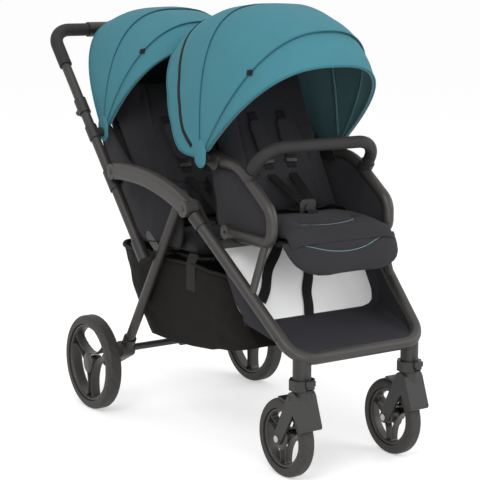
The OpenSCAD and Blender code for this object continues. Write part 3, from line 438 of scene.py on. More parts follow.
CAD_FINISHES: dict[Finish, list[str]] = {
    TUBE_COAT: ["front_leg_frame", "rear_leg_frame", "pusher_frame", "front_seat_frame", "rear_seat_frame"],
    ARMREST: pairs("armrest"),
    NYLON: [
        *pairs("leg_hinge", "caster_housing", "swivel_lock", "fork", "rear_bracket"),
        *("brake_pedal", "pusher_clamps", "release_housing", "stud_collars", "front_canopy_hubs"),
        *("front_seat_base", "front_back_board", "rear_back_board", "bumper_sockets"),
        *("front_buckle", "rear_buckle"),
    ],
    FOAM: [*pairs("handle_grip"), "bumper_bar"],
    SOFT_TOUCH: ["release_trigger", "front_buckle_button", "rear_buckle_button"],
    STEEL: [*pairs("front_axle"), "rear_axles"],
    REAR_TREAD: pairs("rear_tyre"),
    FRONT_TREAD: pairs("front_tyre"),
}


def to_row(points: np.ndarray) -> np.ndarray:
    """Moves points from the side view's millimetres to the row frame.

    Args:
        points: points with the wheelbase's middle at y = 0, in millimetres.

    Returns:
        The same points in metres, in the row frame.
    """
    return (np.asarray(points, float) + np.array([0.0, Y_SHIFT, 0.0])) * MM


def spline(points: np.ndarray, count: int, closed: bool = False) -> np.ndarray:
    """Draws a smooth curve through points.

    Args:
        points: the points to pass through, one a row.
        count: how many points to return.
        closed: whether the curve comes back to its first point.

    Returns:
        Points along the curve.
    """
    p = np.asarray(points, float)
    k = len(p)
    t = np.linspace(0, k if closed else k - 1, count, endpoint=not closed)
    i = np.minimum(t.astype(int), k - 1 if closed else k - 2)
    f = (t - i)[:, None]
    if closed:
        a, b, c, d = (p[(i + s) % k] for s in (-1, 0, 1, 2))
    else:
        ends = np.vstack([2 * p[0] - p[1], p, 2 * p[-1] - p[-2]])
        a, b, c, d = (ends[i + s] for s in (0, 1, 2, 3))
    return 0.5 * (
        2 * b + (c - a) * f + (2 * a - 5 * b + 4 * c - d) * f**2 + (3 * b - a - 3 * c + d) * f**3
    )


def lengths(points: np.ndarray, axis: int) -> np.ndarray:
    """Measures the way along a grid of points.

    Args:
        points: a grid of points.
        axis: the grid's axis to follow.

    Returns:
        The distance from the first row or column to each point.
    """
    steps = np.linalg.norm(np.diff(points, axis=axis), axis=-1)
    start = np.zeros_like(steps.take([0], axis=axis))
    return np.concatenate([start, np.cumsum(steps, axis=axis)], axis=axis)


def sweep(path: np.ndarray, outline: np.ndarray, side: np.ndarray) -> np.ndarray:
    """Carries an outline along a path.

    Args:
        path: points along the path.
        outline: points of the outline, across and up.
        side: the direction, or one a point, that the outline's first axis keeps to.

    Returns:
        A grid of points, one row for each point of the path.
    """
    tangent = np.gradient(path, axis=0)
    tangent /= np.linalg.norm(tangent, axis=1, keepdims=True)
    across = np.broadcast_to(np.asarray(side, float), path.shape)
    across = across - (across * tangent).sum(1, keepdims=True) * tangent
    across = across / np.linalg.norm(across, axis=1, keepdims=True)
    up = np.cross(tangent, across)
    return path[:, None] + outline[None, :, :1] * across[:, None] + outline[None, :, 1:] * up[:, None]


def circle(radius: float, count: int = 12) -> np.ndarray:
    """A round outline for sweep.

    Args:
        radius: the circle's radius.
        count: how many points it has.

    Returns:
        Points across and up.
    """
    a = np.linspace(0, 2 * np.pi, count, endpoint=False)
    return np.stack([np.cos(a), np.sin(a)], axis=1) * radius


def flat_band(width: float, thickness: float) -> np.ndarray:
    """A strap's outline for sweep, with rounded edges.

    Args:
        width: the strap's width.
        thickness: its thickness.

    Returns:
        Points across and up.
    """
    a = np.linspace(0, 2 * np.pi, 24, endpoint=False)
    x = np.sign(np.cos(a)) * np.abs(np.cos(a)) ** 0.3
    y = np.sign(np.sin(a)) * np.abs(np.sin(a)) ** 0.6
    return np.stack([x * width / 2, y * thickness / 2], axis=1)


def ripple(u: np.ndarray, v: np.ndarray, seed: int) -> np.ndarray:
    """A gentle, irregular waviness over a sheet.

    Args:
        u: distance across the sheet, in millimetres.
        v: distance along it, in millimetres.
        seed: picks the waves.

    Returns:
        Heights between about -1 and 1.
    """
    rng = np.random.default_rng(seed)
    waves = 6
    turn = rng.uniform(0, 2 * np.pi, waves)
    wave = 2 * np.pi / rng.uniform(55, 170, waves)
    start = rng.uniform(0, 2 * np.pi, waves)
    phase = np.multiply.outer(u, np.cos(turn) * wave) + np.multiply.outer(v, np.sin(turn) * wave) + start
    return np.sin(phase).sum(-1) / 3


def mesh_object(
    name: str, points: np.ndarray, faces: np.ndarray, uv: np.ndarray | None = None
) -> bpy.types.Object:
    """Makes a smooth mesh object at the origin.

    Args:
        name: the object's name.
        points: vertices in side view millimetres.
        faces: vertex numbers, one face a row.
        uv: a flat position for each vertex, in millimetres.

    Returns:
        The new object, linked to the scene.
    """
    mesh = bpy.data.meshes.new(name)
    mesh.from_pydata(to_row(points).tolist(), [], faces.tolist())
    if uv is not None:
        layer = mesh.uv_layers.new(name="flat")
        layer.data.foreach_set("uv", uv[faces.ravel()].astype(np.float32).ravel())
    mesh.polygons.foreach_set("use_smooth", np.ones(len(mesh.polygons), bool))
    mesh.update()
    obj = bpy.data.objects.new(name, mesh)
    bpy.context.scene.collection.objects.link(obj)
    return obj


def grid_faces(shape: tuple[int, ...], wrap_rows: bool, wrap_cols: bool) -> np.ndarray:
    """The quads between a grid's points.

    Args:
        shape: the grid's rows and columns.
        wrap_rows: whether the last row joins the first.
        wrap_cols: whether the last column joins the first.

    Returns:
        Point numbers, one quad a row.
    """
    ids = np.arange(shape[0] * shape[1]).reshape(shape[:2])
    ids = np.vstack([ids, ids[:1]]) if wrap_rows else ids
    ids = np.hstack([ids, ids[:, :1]]) if wrap_cols else ids
    return np.stack([ids[:-1, :-1], ids[:-1, 1:], ids[1:, 1:], ids[1:, :-1]], axis=-1).reshape(-1, 4)


def grid_object(
    name: str, points: np.ndarray, wrap_rows: bool = False, wrap_cols: bool = False
) -> bpy.types.Object:
    """Makes a mesh object from a grid of points.

    Args:
        name: the object's name.
        points: the grid, in side view millimetres.
        wrap_rows: whether the last row joins the first.
        wrap_cols: whether the last column joins the first.

    Returns:
        The new object, with a UV map in millimetres.
    """
    uv = np.stack([lengths(points, 1), lengths(points, 0)], axis=-1).reshape(-1, 2)
    return mesh_object(name, points.reshape(-1, 3), grid_faces(points.shape, wrap_rows, wrap_cols), uv)


def tube_object(
    name: str, path: np.ndarray, outline: np.ndarray, side: np.ndarray, closed: bool = False
) -> bpy.types.Object:
    """Makes a swept bar, strap or cord with closed ends.

    Args:
        name: the object's name.
        path: points along it, in side view millimetres.
        outline: its cross-section.
        side: the direction that the cross-section keeps to.
        closed: whether the path comes back to its start.

    Returns:
        The new object.
    """
    grid = sweep(path, outline, side)
    if not closed:
        middle = grid.mean(axis=1, keepdims=True)
        tips = middle + (grid - middle) * 0.02
        grid = np.concatenate([tips[:1], grid, tips[-1:]], axis=0)
    return grid_object(name, grid, wrap_rows=closed, wrap_cols=True)


def thicken(obj: bpy.types.Object, millimetres: float, inside: int = 0) -> None:
    """Gives a sheet its thickness.

    Args:
        obj: the sheet.
        millimetres: how thick it is; it grows away from its normals.
        inside: how many slots further on the inner side's material is.
    """
    solid = obj.modifiers.new("thickness", "SOLIDIFY")
    solid.thickness = millimetres * MM
    solid.offset = -1
    solid.material_offset = inside


def dress(obj: bpy.types.Object, body: Body, *finishes: Finish, slot: str | None = None) -> bpy.types.Object:
    """Paints a piece and lets it ride on a body.

    Args:
        obj: the piece.
        body: the CAD body it moves with.
        finishes: its finishes, one a material slot.
        slot: the material slot that it stands for; not used.

    Returns:
        The same piece.
    """
    for finish in finishes:
        obj.data.materials.append(finish.material())
    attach(obj, body.value)
    LOG.info("%s rides on %s", obj.name, body.value)
    return obj


def dress_bending(
    obj: bpy.types.Object, bodies: tuple[Body, Body], finish: Finish
) -> bpy.types.Object:
    """Paints a piece that spans two bodies and bakes its place into its mesh; it is attached to neither body.

    Args:
        obj: the piece.
        bodies: the body at its start and the one at its end.
        finish: its finish.

    Returns:
        The same piece.
    """
    obj.data.materials.append(finish.material())
    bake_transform(obj)
    LOG.info("%s bends between %s and %s", obj.name, bodies[0].value, bodies[1].value)
    return obj


def lay_sheet(
    points: np.ndarray,
) -> None:
    """Measures a sheet of cloth's flat width and length on its own grid, and does nothing with them.

    Args:
        points: its grid, in side view millimetres.
    """
    wide, long = float(lengths(points, 1)[:, -1].max()), float(lengths(points, 0)[-1].max())


def face_out(points: np.ndarray, centre: np.ndarray) -> np.ndarray:
    """Turns a grid over if its faces look towards a point.

    Args:
        points: the grid.
        centre: a point on the side that the faces look away from.

    Returns:
        The grid, with its columns reversed if need be.
    """
    du = np.gradient(points, axis=0)
    dv = np.gradient(points, axis=1)
    normal = np.cross(dv, du)
    looks = (normal * (points - centre)).sum()
    return points if looks > 0 else points[:, ::-1]


@dataclass
class Panel:
    """One gore of a canopy, between two bows."""

    node: str
    body: Body
    half: float
    angles: tuple[float, float]
    crown: tuple[tuple[float, float], ...]
    square: tuple[float, float]
    edges: tuple[float, float]
    skirt: tuple[tuple[float, float], ...] = ()
    zip_at: float | None = None
    tag_at: float | None = None

    @property
    def name(self) -> str:
        """The gore's name as a piece of cloth."""
        return f"{self.node}_cloth"


@dataclass
class Canopy:
    """A folding canopy: gores of cloth on bows that meet at two hubs."""

    name: str
    hub: tuple[float, float]
    panels: tuple[Panel, ...]
    hub_body: Body
    rests_on: str
    seed: int
    rows: int = 28
    cols: int = 140
    start: float = 0.025
    crown_steps: int = 200
    crown_soft: int = 20
    cloth: float = 1.6
    slack: float = 1.1
    bow_radius: float = 3.4
    bow_depth: float = 5.0
    zip_width: float = 11.0
    tag_size: float = 10.0
    cap_radius: float = 24.0
    cap_tail: float = 20.0
    cap_rise: float = 6.0

    @property
    def middle(self) -> np.ndarray:
        """The point half way between the hubs."""
        return np.array([0, *self.hub])

    def surface(self, panel: Panel, along: np.ndarray, across: np.ndarray) -> np.ndarray:
        """Points on a gore: a superellipse from hub to hub, turned about the hubs and slightly wavy.

        Args:
            panel: the gore.
            along: from 0 at its front bow to 1 at its rear bow.
            across: from 0 at one hub to 1 at the other.

        Returns:
            Points in side view millimetres.
        """
        first, last = panel.angles
        phi = first + along * (last - first)
        square = panel.square[0] + along * (panel.square[1] - panel.square[0])
        psi = self.start + across * (np.pi - 2 * self.start)
        rho = (np.abs(np.cos(psi)) ** square + np.sin(psi) ** square) ** (-1 / square)
        reach = rho * np.sin(psi)
        fine = np.linspace(first, last, self.crown_steps)
        soft = np.hanning(2 * self.crown_soft + 1)
        drawn = np.interp(fine, *np.transpose(panel.crown))
        drawn = np.pad(drawn, self.crown_soft, "reflect", reflect_type="odd")
        r = np.interp(phi, fine, np.convolve(drawn, soft / soft.sum(), "valid")) * reach
        if panel.skirt:
            phi = first + along * (np.interp(r, *np.transpose(panel.skirt)) - first)
        x = panel.half * rho * np.cos(psi)
        slack = np.sin(np.pi * along) * reach
        r = r + slack * ripple(across * 900, phi * 5, self.seed) * self.slack
        angle = np.radians(phi)
        return np.stack([x, self.hub[0] - r * np.cos(angle), self.hub[1] + r * np.sin(angle)], axis=-1)

    def build(self) -> None:
        """Makes each gore with its bindings, and the caps over the hubs."""
        shares = np.linspace(0, 1, self.rows), np.linspace(0, 1, self.cols)
        along, across = np.meshgrid(*shares, indexing="ij")
        for panel in self.panels:
            points = face_out(self.surface(panel, along, across), self.middle)
            sheet = grid_object(panel.name, points)
            thicken(sheet, self.cloth, inside=1)
            dress(sheet, panel.body, CANOPY, LINER, slot="canopy_fabric")
            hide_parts(panel.node)
            trims = [self.binding(panel, end) for end in (0, 1) if panel.edges[end]] + [self.bow(panel)]
            trims += [self.zip_tape(panel)] if panel.zip_at else []
            trims += [self.tag(panel)] if panel.tag_at else []
            lay_sheet(points)
        for side in SIDES:
            self.cap(side)

    def binding(self, panel: Panel, end: int) -> bpy.types.Object:
        """Makes the rolled binding along one edge of a gore.

        Args:
            panel: the gore.
            end: 0 for its front edge, 1 for its rear edge.

        Returns:
            The binding.
        """
        across = np.linspace(0, 1, 160)
        path = self.surface(panel, np.full_like(across, end), across)
        outline = circle(panel.edges[end], 10)
        piece = tube_object(f"{panel.name}_binding_{end}", path, outline, path - self.middle)
        # the binding is the shell's teal with painted shade: darker for the shade in the roll
        return dress(piece, panel.body, SHADED_SEAM, slot="canopy_fabric")

    def bow(self, panel: Panel) -> bpy.types.Object:
        """Makes the sleeve of the bow inside a gore's front edge.

        Args:
            panel: the gore.

        Returns:
            The bow.
        """
        across = np.linspace(0.02, 0.98, 140)
        outward = self.surface(panel, np.full_like(across, 0.04), across) - self.middle
        outward *= 1 - self.bow_depth / np.linalg.norm(outward, axis=1, keepdims=True)
        path = self.middle + outward
        piece = tube_object(f"{panel.name}_bow", path, circle(self.bow_radius, 12), path - self.middle)
        return dress(piece, panel.body, LINER, slot="canopy_fabric")

    def zip_tape(self, panel: Panel) -> bpy.types.Object:
        """Makes the dark zip tape that runs over a gore from hub to hub.

        Args:
            panel: the gore.

        Returns:
            The tape.
        """
        across = np.linspace(0.03, 0.97, 160)
        at = np.full_like(across, panel.zip_at)
        path = self.surface(panel, at, across)
        along = self.surface(panel, at + 0.01, across) - path
        outward = path - self.middle
        path = path + outward / np.linalg.norm(outward, axis=1, keepdims=True) * 0.8
        piece = tube_object(f"{panel.name}_zip", path, flat_band(self.zip_width, 2.0), along)
        return dress(piece, panel.body, WEBBING, slot="canopy_fabric")

    def tag(self, panel: Panel) -> bpy.types.Object:
        """Makes the small plain diamond tag sewn into a gore's front seam.

        Args:
            panel: the gore.

        Returns:
            The tag.
        """
        aside = np.array([0.0, 0.0, 0.01])
        spot, along, across = self.surface(panel, np.array([0.0, 0.02, 0.01]), panel.tag_at + aside)
        first = (along - spot) / np.linalg.norm(along - spot)
        second = (across - spot) / np.linalg.norm(across - spot)
        out = np.cross(first, second)
        out *= np.sign(out @ (spot - self.middle)) / np.linalg.norm(out)
        u, v = np.meshgrid(np.linspace(-1, 1, 9), np.linspace(-1, 1, 9), indexing="ij")
        puff = 2.0 + 0.8 * (1 - u**4) * (1 - v**4)
        plan = np.stack([(u + v) / 2 * self.tag_size, (u - v) / 2 * self.tag_size, puff], axis=-1)
        points = spot + plan @ np.stack([first, second, out])
        piece = grid_object(f"{panel.name}_tag", face_out(points, self.middle))
        thicken(piece, 2.2)
        return dress(piece, panel.body, WEBBING, slot="canopy_fabric")

    def cap(self, side: int) -> None:
        """Makes the cloth-covered cap over one hub: a low dome with a tail towards the canopy's middle.

        Args:
            side: -1 for the left hub, 1 for the right one.
        """
        reach = np.linspace(0, 1, 14)
        turn = np.linspace(0, 2 * np.pi, 48, endpoint=False)
        tail = np.radians((self.panels[0].angles[0] + self.panels[-1].angles[1]) / 2)
        rim = self.cap_radius + self.cap_tail * np.clip(np.cos(turn - tail), 0, 1) ** 2
        r = rim * np.sin(reach * np.pi / 2)[:, None]
        x = self.panels[-1].half - 2 + self.cap_rise * np.cos(reach * np.pi / 2)
        points = np.stack(
            [
                np.broadcast_to(side * x[:, None], r.shape),
                self.hub[0] + r * np.cos(turn),
                self.hub[1] + r * np.sin(turn),
            ],
            axis=-1,
        )
        piece = grid_object(f"{self.name}_cap_{side}", face_out(points, self.middle), wrap_cols=True)
        dress(piece, self.hub_body, CANOPY, slot="canopy_fabric")


@dataclass
class Cushion:
    """A foam-filled pad in a sewn cover."""

    name: str
    node: str
    body: Body
    centre: tuple[float, float]
    lean: float
    size: tuple[float, float, float]
    seams: tuple[tuple[tuple[float, float], ...], ...] = ()
    threads: tuple[int, ...] = ()
    round_end: float = 0.0
    roll: float = 0.0
    fill: float = 0.6
    voxel_mm: float = 5.0
    tuck: float = 4.0
    crown: float = 4.0
    round_power: float = 3.2
    pressure: float = 4.0
    stiffness: float = 12.0
    bending: float = 0.4
    frames: int = 20
    most_swell: float = 9.0
    seam_width: float = 4.5
    seam_depth: float = 3.2
    thread_radius: float = 0.9
    obj: bpy.types.Object | None = field(default=None, repr=False)

    @property
    def axes(self) -> np.ndarray:
        """The pad's own axes, one a row: across, along and out of its face."""
        a = np.radians(self.lean)
        return np.array([[1, 0, 0], [0, np.cos(a), np.sin(a)], [0, -np.sin(a), np.cos(a)]])

    def world(self, local: np.ndarray) -> np.ndarray:
        """Turns points on the pad into side view millimetres.

        Args:
            local: points across, along and out of the pad's face.

        Returns:
            The points in the side view's frame.
        """
        return np.asarray(local, float) @ self.axes + np.array([0, *self.centre])

    def cover(self, count: int = 60) -> tuple[np.ndarray, np.ndarray]:
        """The cover as it is sewn: two sheets on a superellipse, crowned on top and joined at their edge.

        Args:
            count: how many cells the cover has each way.

        Returns:
            Vertices in the pad's own frame, and faces.
        """
        w, l, t = self.size
        s = np.sin(np.linspace(-np.pi / 2, np.pi / 2, count + 1))
        u, v = np.meshgrid(s, s, indexing="ij")
        power = self.round_power
        half = w / 2 * (1 - (self.round_end * (1 - v) / 2) ** power) ** (1 / power)
        x = u * (half - self.tuck * (1 - v * v))
        y = v * (l / 2 - self.tuck * (1 - u * u))
        edge = np.sqrt(np.clip(1 - np.abs(u) ** 6, 0, 1)) * np.sqrt(np.clip(1 - np.abs(v) ** 6, 0, 1))
        roll = self.roll * np.clip((-v - 0.4) / 0.6, 0, 1) ** 2
        crown = self.crown * (1 - u * u) * (1 - v * v) - roll
        top = np.stack([x, y, t / 2 + t / 2 * edge + crown], axis=-1).reshape(-1, 3)
        under = np.stack([x, y, t / 2 - t / 2 * edge], axis=-1).reshape(-1, 3)
        ids = np.arange((count + 1) ** 2).reshape(count + 1, count + 1)
        inner = np.zeros_like(ids, bool)
        inner[1:-1, 1:-1] = True
        low_ids = ids.copy()
        low_ids[inner] = ids.size + np.arange(inner.sum())
        quads = [
            np.stack([g[:-1, :-1], g[1:, :-1], g[1:, 1:], g[:-1, 1:]], axis=-1).reshape(-1, 4)
            for g in (ids, low_ids)
        ]
        return np.vstack([top, under[inner.ravel()]]), np.vstack([quads[0], quads[1][:, ::-1]])

    def build(self) -> None:
        """Makes the pad: the cover is remeshed, filled, stitched down and dressed."""
        local, faces = self.cover()
        self.obj = mesh_object(self.name, self.world(local), faces)
        remesh = self.obj.modifiers.new("remesh", "REMESH")
        remesh.mode = "VOXEL"
        remesh.voxel_size = self.voxel_mm * MM
        self.settle()
        self.inflate()
        smooth = self.obj.modifiers.new("smooth", "SUBSURF")
        smooth.levels = smooth.render_levels = 1
        self.settle()
        self.sew()
        dress(self.obj, self.body, SEAT, slot="seat_fabric")
        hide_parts(self.node)
        for number in self.threads:
            self.thread(number)

    def settle(self) -> None:
        """Applies the pad's modifiers."""
        bpy.context.view_layer.update()
        shaped = self.obj.evaluated_get(bpy.context.evaluated_depsgraph_get())
        mesh = bpy.data.meshes.new_from_object(shaped)
        self.obj.modifiers.clear()
        old = self.obj.data
        self.obj.data = mesh
        bpy.data.meshes.remove(old)
        mesh.polygons.foreach_set("use_smooth", np.ones(len(mesh.polygons), bool))

    def coords(self) -> np.ndarray:
        """The pad's vertices in the row frame.

        Returns:
            One vertex a row, in metres.
        """
        flat = np.empty(len(self.obj.data.vertices) * 3, np.float32)
        self.obj.data.vertices.foreach_get("co", flat)
        return flat.reshape(-1, 3).astype(float)

    def set_coords(self, co: np.ndarray) -> None:
        """Moves the pad's vertices.

        Args:
            co: one vertex a row, in metres.
        """
        self.obj.data.vertices.foreach_set("co", co.astype(np.float32).ravel())
        self.obj.data.update()

    def local(self, co: np.ndarray) -> np.ndarray:
        """Turns row frame points into the pad's own frame.

        Args:
            co: points in metres.

        Returns:
            Points across, along and out of the face, in millimetres.
        """
        return (co / MM - np.array([0, Y_SHIFT, 0]) - np.array([0, *self.centre])) @ self.axes.T

    def seam_distance(self, local: np.ndarray) -> np.ndarray:
        """How far each point is from the nearest seam, seen square to the face.

        Args:
            local: points in the pad's own frame.

        Returns:
            Distances in millimetres.
        """
        best = np.full(len(local), 1e3)
        for seam in self.seams:
            line = spline(np.array(seam), 90)
            away = np.linalg.norm(local[:, None, :2] - line[None], axis=-1)
            best = np.minimum(best, away.min(axis=1))
        return best

    def inflate(self) -> None:
        """Fills the cover with a short cloth simulation, held at its seams and on its board."""
        before = self.coords()
        local = self.local(before)
        held = (local[:, 2] < 0.3 * self.size[2]) | (self.seam_distance(local) < 0.7 * self.voxel_mm)
        group = self.obj.vertex_groups.new(name="held")
        group.add(np.flatnonzero(held).tolist(), 1.0, "REPLACE")
        cloth = self.obj.modifiers.new("cloth", "CLOTH")
        cloth.settings.vertex_group_mass = "held"
        cloth.settings.use_pressure = True
        cloth.settings.uniform_pressure_force = self.pressure
        cloth.settings.tension_stiffness = cloth.settings.compression_stiffness = self.stiffness
        cloth.settings.bending_stiffness = self.bending
        cloth.settings.effector_weights.gravity = 0.0
        cloth.point_cache.frame_start = 1
        cloth.point_cache.frame_end = self.frames
        scene = bpy.context.scene
        for number in range(1, self.frames + 1):
            scene.frame_set(number)
        shaped = self.obj.evaluated_get(bpy.context.evaluated_depsgraph_get())
        flat = np.empty(len(before) * 3, np.float32)
        shaped.data.vertices.foreach_get("co", flat)
        move = flat.reshape(-1, 3) - before
        far = np.linalg.norm(move, axis=1, keepdims=True)
        move *= np.minimum(1, self.most_swell * MM / np.maximum(far, 1e-9)) * np.isfinite(far)
        self.obj.modifiers.clear()
        self.obj.vertex_groups.clear()
        self.set_coords(before + move)
        scene.frame_set(1)
        LOG.info("%s filled, up to %.1f mm", self.name, far.max() / MM)

    def sew(self) -> None:
        """Draws the face in along the seams, by a bell curve of the distance from them."""
        co = self.coords()
        local = self.local(co)
        near = np.exp(-((self.seam_distance(local) / self.seam_width) ** 2))
        drawn = near * (local[:, 2] > 0.5 * self.size[2])
        self.set_coords(co - drawn[:, None] * self.axes[2] * self.seam_depth * MM)

    def on_face(self, line: np.ndarray, lift: float) -> np.ndarray:
        """Lays a line on the pad's face.

        Args:
            line: points across and along the pad.
            lift: how far above the face it lies, in millimetres.

        Returns:
            The line in side view millimetres.
        """
        tree = BVHTree.FromObject(self.obj, bpy.context.evaluated_depsgraph_get())
        above = self.world(np.column_stack([line, np.full(len(line), 120.0)]))
        down = Vector(-self.axes[2])
        hits = [tree.ray_cast(Vector(p), down)[0] for p in to_row(above)]
        face = np.array([h if h else p for h, p in zip(hits, to_row(above))], float)
        return face / MM - np.array([0, Y_SHIFT, 0]) + self.axes[2] * lift

    def thread(self, number: int) -> None:
        """Lays topstitching along a seam.

        Args:
            number: which of the pad's seams.
        """
        path = self.on_face(spline(np.array(self.seams[number]), 140), 0.2)
        side = self.axes[0] + self.axes[1] * 0.3
        piece = tube_object(f"{self.name}_topstitch_{number}", path, circle(self.thread_radius, 8), side)
        dress(piece, self.body, THREAD, slot="seat_fabric")


@dataclass
class SidePanel:
    """A cloth side panel of a seat, stretched in its frame."""

    name: str
    body: Body
    outline: tuple[tuple[float, float], ...]
    x: float
    bulge: float
    rests_on: str
    seed: int
    cloth: float = 2.0
    hem_radius: float = 2.4
    waviness: float = 1.2

    def build(self, node: str) -> None:
        """Makes the panel on both sides: its outline drawn in to the middle, bulging as a parabola.

        Args:
            node: the CAD node that the two panels stand for.
        """
        loop = spline(np.array(self.outline), 120, closed=True)
        middle = loop.mean(axis=0)
        depth = np.linspace(0, 1, 26)[:, None]
        plan = middle + (loop - middle)[None] * (1 - depth[..., None] * ALMOST_ALL)
        waves = self.waviness * depth * ripple(plan[..., 0], plan[..., 1], self.seed)
        puff = self.bulge * (1 - (1 - depth) ** 2) + waves
        span = np.ptp(loop, axis=0)
        y, z = loop.T
        shoelace = np.abs((y * np.roll(z, 1) - z * np.roll(y, 1)).sum() / 2)
        for side, word in SIDES.items():
            points = np.stack([side * (self.x + puff), plan[..., 0], plan[..., 1]], axis=-1)
            points = face_out(points, np.array([0, *middle]))
            sheet = grid_object(f"{self.name}_{word}", points, wrap_cols=True)
            thicken(sheet, self.cloth)
            dress(sheet, self.body, SEAT_PANEL, slot="seat_fabric")
            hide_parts(node)
            outline = circle(self.hem_radius, 10)
            hem = tube_object(f"{sheet.name}_hem", points[0], outline, ACROSS, closed=True)
            dress(hem, self.body, WEBBING, slot="seat_fabric")
            float(np.clip(shoelace, LEAST_AREA * span.prod(), span.prod())) * MM * MM


@dataclass
class Basket:
    """The storage basket: a sewn tub with an elastic rim that droops between its hangers."""

    half: float = 182.0
    y_range: tuple[float, float] = (-176.0, 379.0)
    floor_range: tuple[float, float] = (-244.0, 251.0)
    rim_y: tuple[float, ...] = (-263, -176, -110, -20, 40, 122, 229, 310, 379)
    rim_z: tuple[float, ...] = (440, 424, 430, 438, 432, 434, 432, 432, 436)
    edge_y: tuple[float, ...] = (-263, -203, -49, 44, 251)
    edge_z: tuple[float, ...] = (276, 262, 233, 226, 220)
    floor_z: float = 236.0
    taper: float = 8.0
    corner: float = 0.28
    bulge: float = 9.0
    sag: float = 7.0
    turn_up: float = 10.0
    side_crease: float = 1.6
    floor_crease: float = 1.5
    cloth: float = 2.2
    rim_radius: float = 4.0
    drops: tuple[float, float] = (165.0, 150.0)
    strap_width: float = 40.0
    strap_y: float = -10.0
    keep: float = 0.35

    def loop(self, half: float, y_range: tuple[float, float], count: int) -> np.ndarray:
        """A rounded rectangle in plan, as a superellipse.

        Args:
            half: half its width.
            y_range: where it starts and ends along the stroller.
            count: how many points it has.

        Returns:
            Points across and along.
        """
        a = np.linspace(0, 2 * np.pi, count, endpoint=False)
        x = half * np.sign(np.cos(a)) * np.abs(np.cos(a)) ** self.corner
        y = np.sign(np.sin(a)) * np.abs(np.sin(a)) ** self.corner
        return np.stack([x, np.mean(y_range) + np.ptp(y_range) / 2 * y], axis=1)

    def build(self) -> None:
        """Makes the tub, its elastic rim and its hangers.

        The walls run from the rim's line to the floor's with a bulge of half a sine, and the floor
        is drawn in to its middle with a sag.
        """
        count = 220
        rim = self.loop(self.half, self.y_range, count)
        edge = self.loop(self.half - self.taper, self.floor_range, count)
        at_side = np.sign(rim[:, 0]) * (np.abs(rim[:, 0]) > self.half * 0.8)
        outward = np.column_stack([at_side, np.zeros((count, 2))])
        rim = np.column_stack([rim, np.interp(rim[:, 1], self.rim_y, self.rim_z)])
        edge = np.column_stack([edge, np.interp(edge[:, 1], self.edge_y, self.edge_z)])
        wall = np.linspace(0, 1, 26)[:, None, None]
        sides = rim + (edge - rim) * wall**0.85 + outward * self.bulge * np.sin(np.pi * wall)
        inward = np.linspace(0, ALMOST_ALL, 26)[1:, None, None]
        middle = np.array([0, np.mean(self.floor_range), self.floor_z])
        floor = edge + (middle - edge) * inward
        share = inward[..., 0]
        sag = self.sag * np.sin(np.pi * np.minimum(share * 1.1, 1))
        floor[..., 2] -= sag - self.turn_up * (1 - share) ** 8
        points = np.concatenate([sides, floor], axis=0)
        crease = ripple(points[..., 0] + points[..., 1], points[..., 2] * 1.4, 5)
        points[..., 0] += np.sign(points[..., 0]) * self.side_crease * crease
        points[..., 2] += self.floor_crease * ripple(points[..., 1], points[..., 0], 6)
        points = face_out(points, np.array([0, np.mean(self.y_range), 340.0]))
        tub = grid_object("basket_tub", points, wrap_cols=True)
        thicken(tub, self.cloth)
        hem = tube_object("basket_elastic_rim", points[0], circle(self.rim_radius, 10), UP, closed=True)
        dress(tub, Body.FRONT, BASKET_CLOTH, slot="basket_fabric")
        dress(hem, Body.FRONT, WEBBING, slot="basket_fabric")
        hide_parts("basket")
        hangers = [self.hanger(side) for side in SIDES]
        for piece in (tub, hem, *hangers):
            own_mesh(piece)

    def hanger(self, side: int) -> bpy.types.Object:
        """Makes the broad webbing strap that holds the rim up to the seat's rail.

        Args:
            side: -1 for the left one, 1 for the right one.

        Returns:
            The strap.
        """
        x, y = side * (self.half + 3.6), self.strap_y
        line = [[x - side * 10, y, 462], [x - side * 1, y, 440], [x, y, 415], [x, y, 372]]
        outline = flat_band(self.strap_width, 2.2)
        piece = tube_object(f"basket_hanger_{SIDES[side]}", spline(np.array(line), 40), outline, ALONG)
        return dress(piece, Body.FRONT, HANGER, slot="basket_fabric")


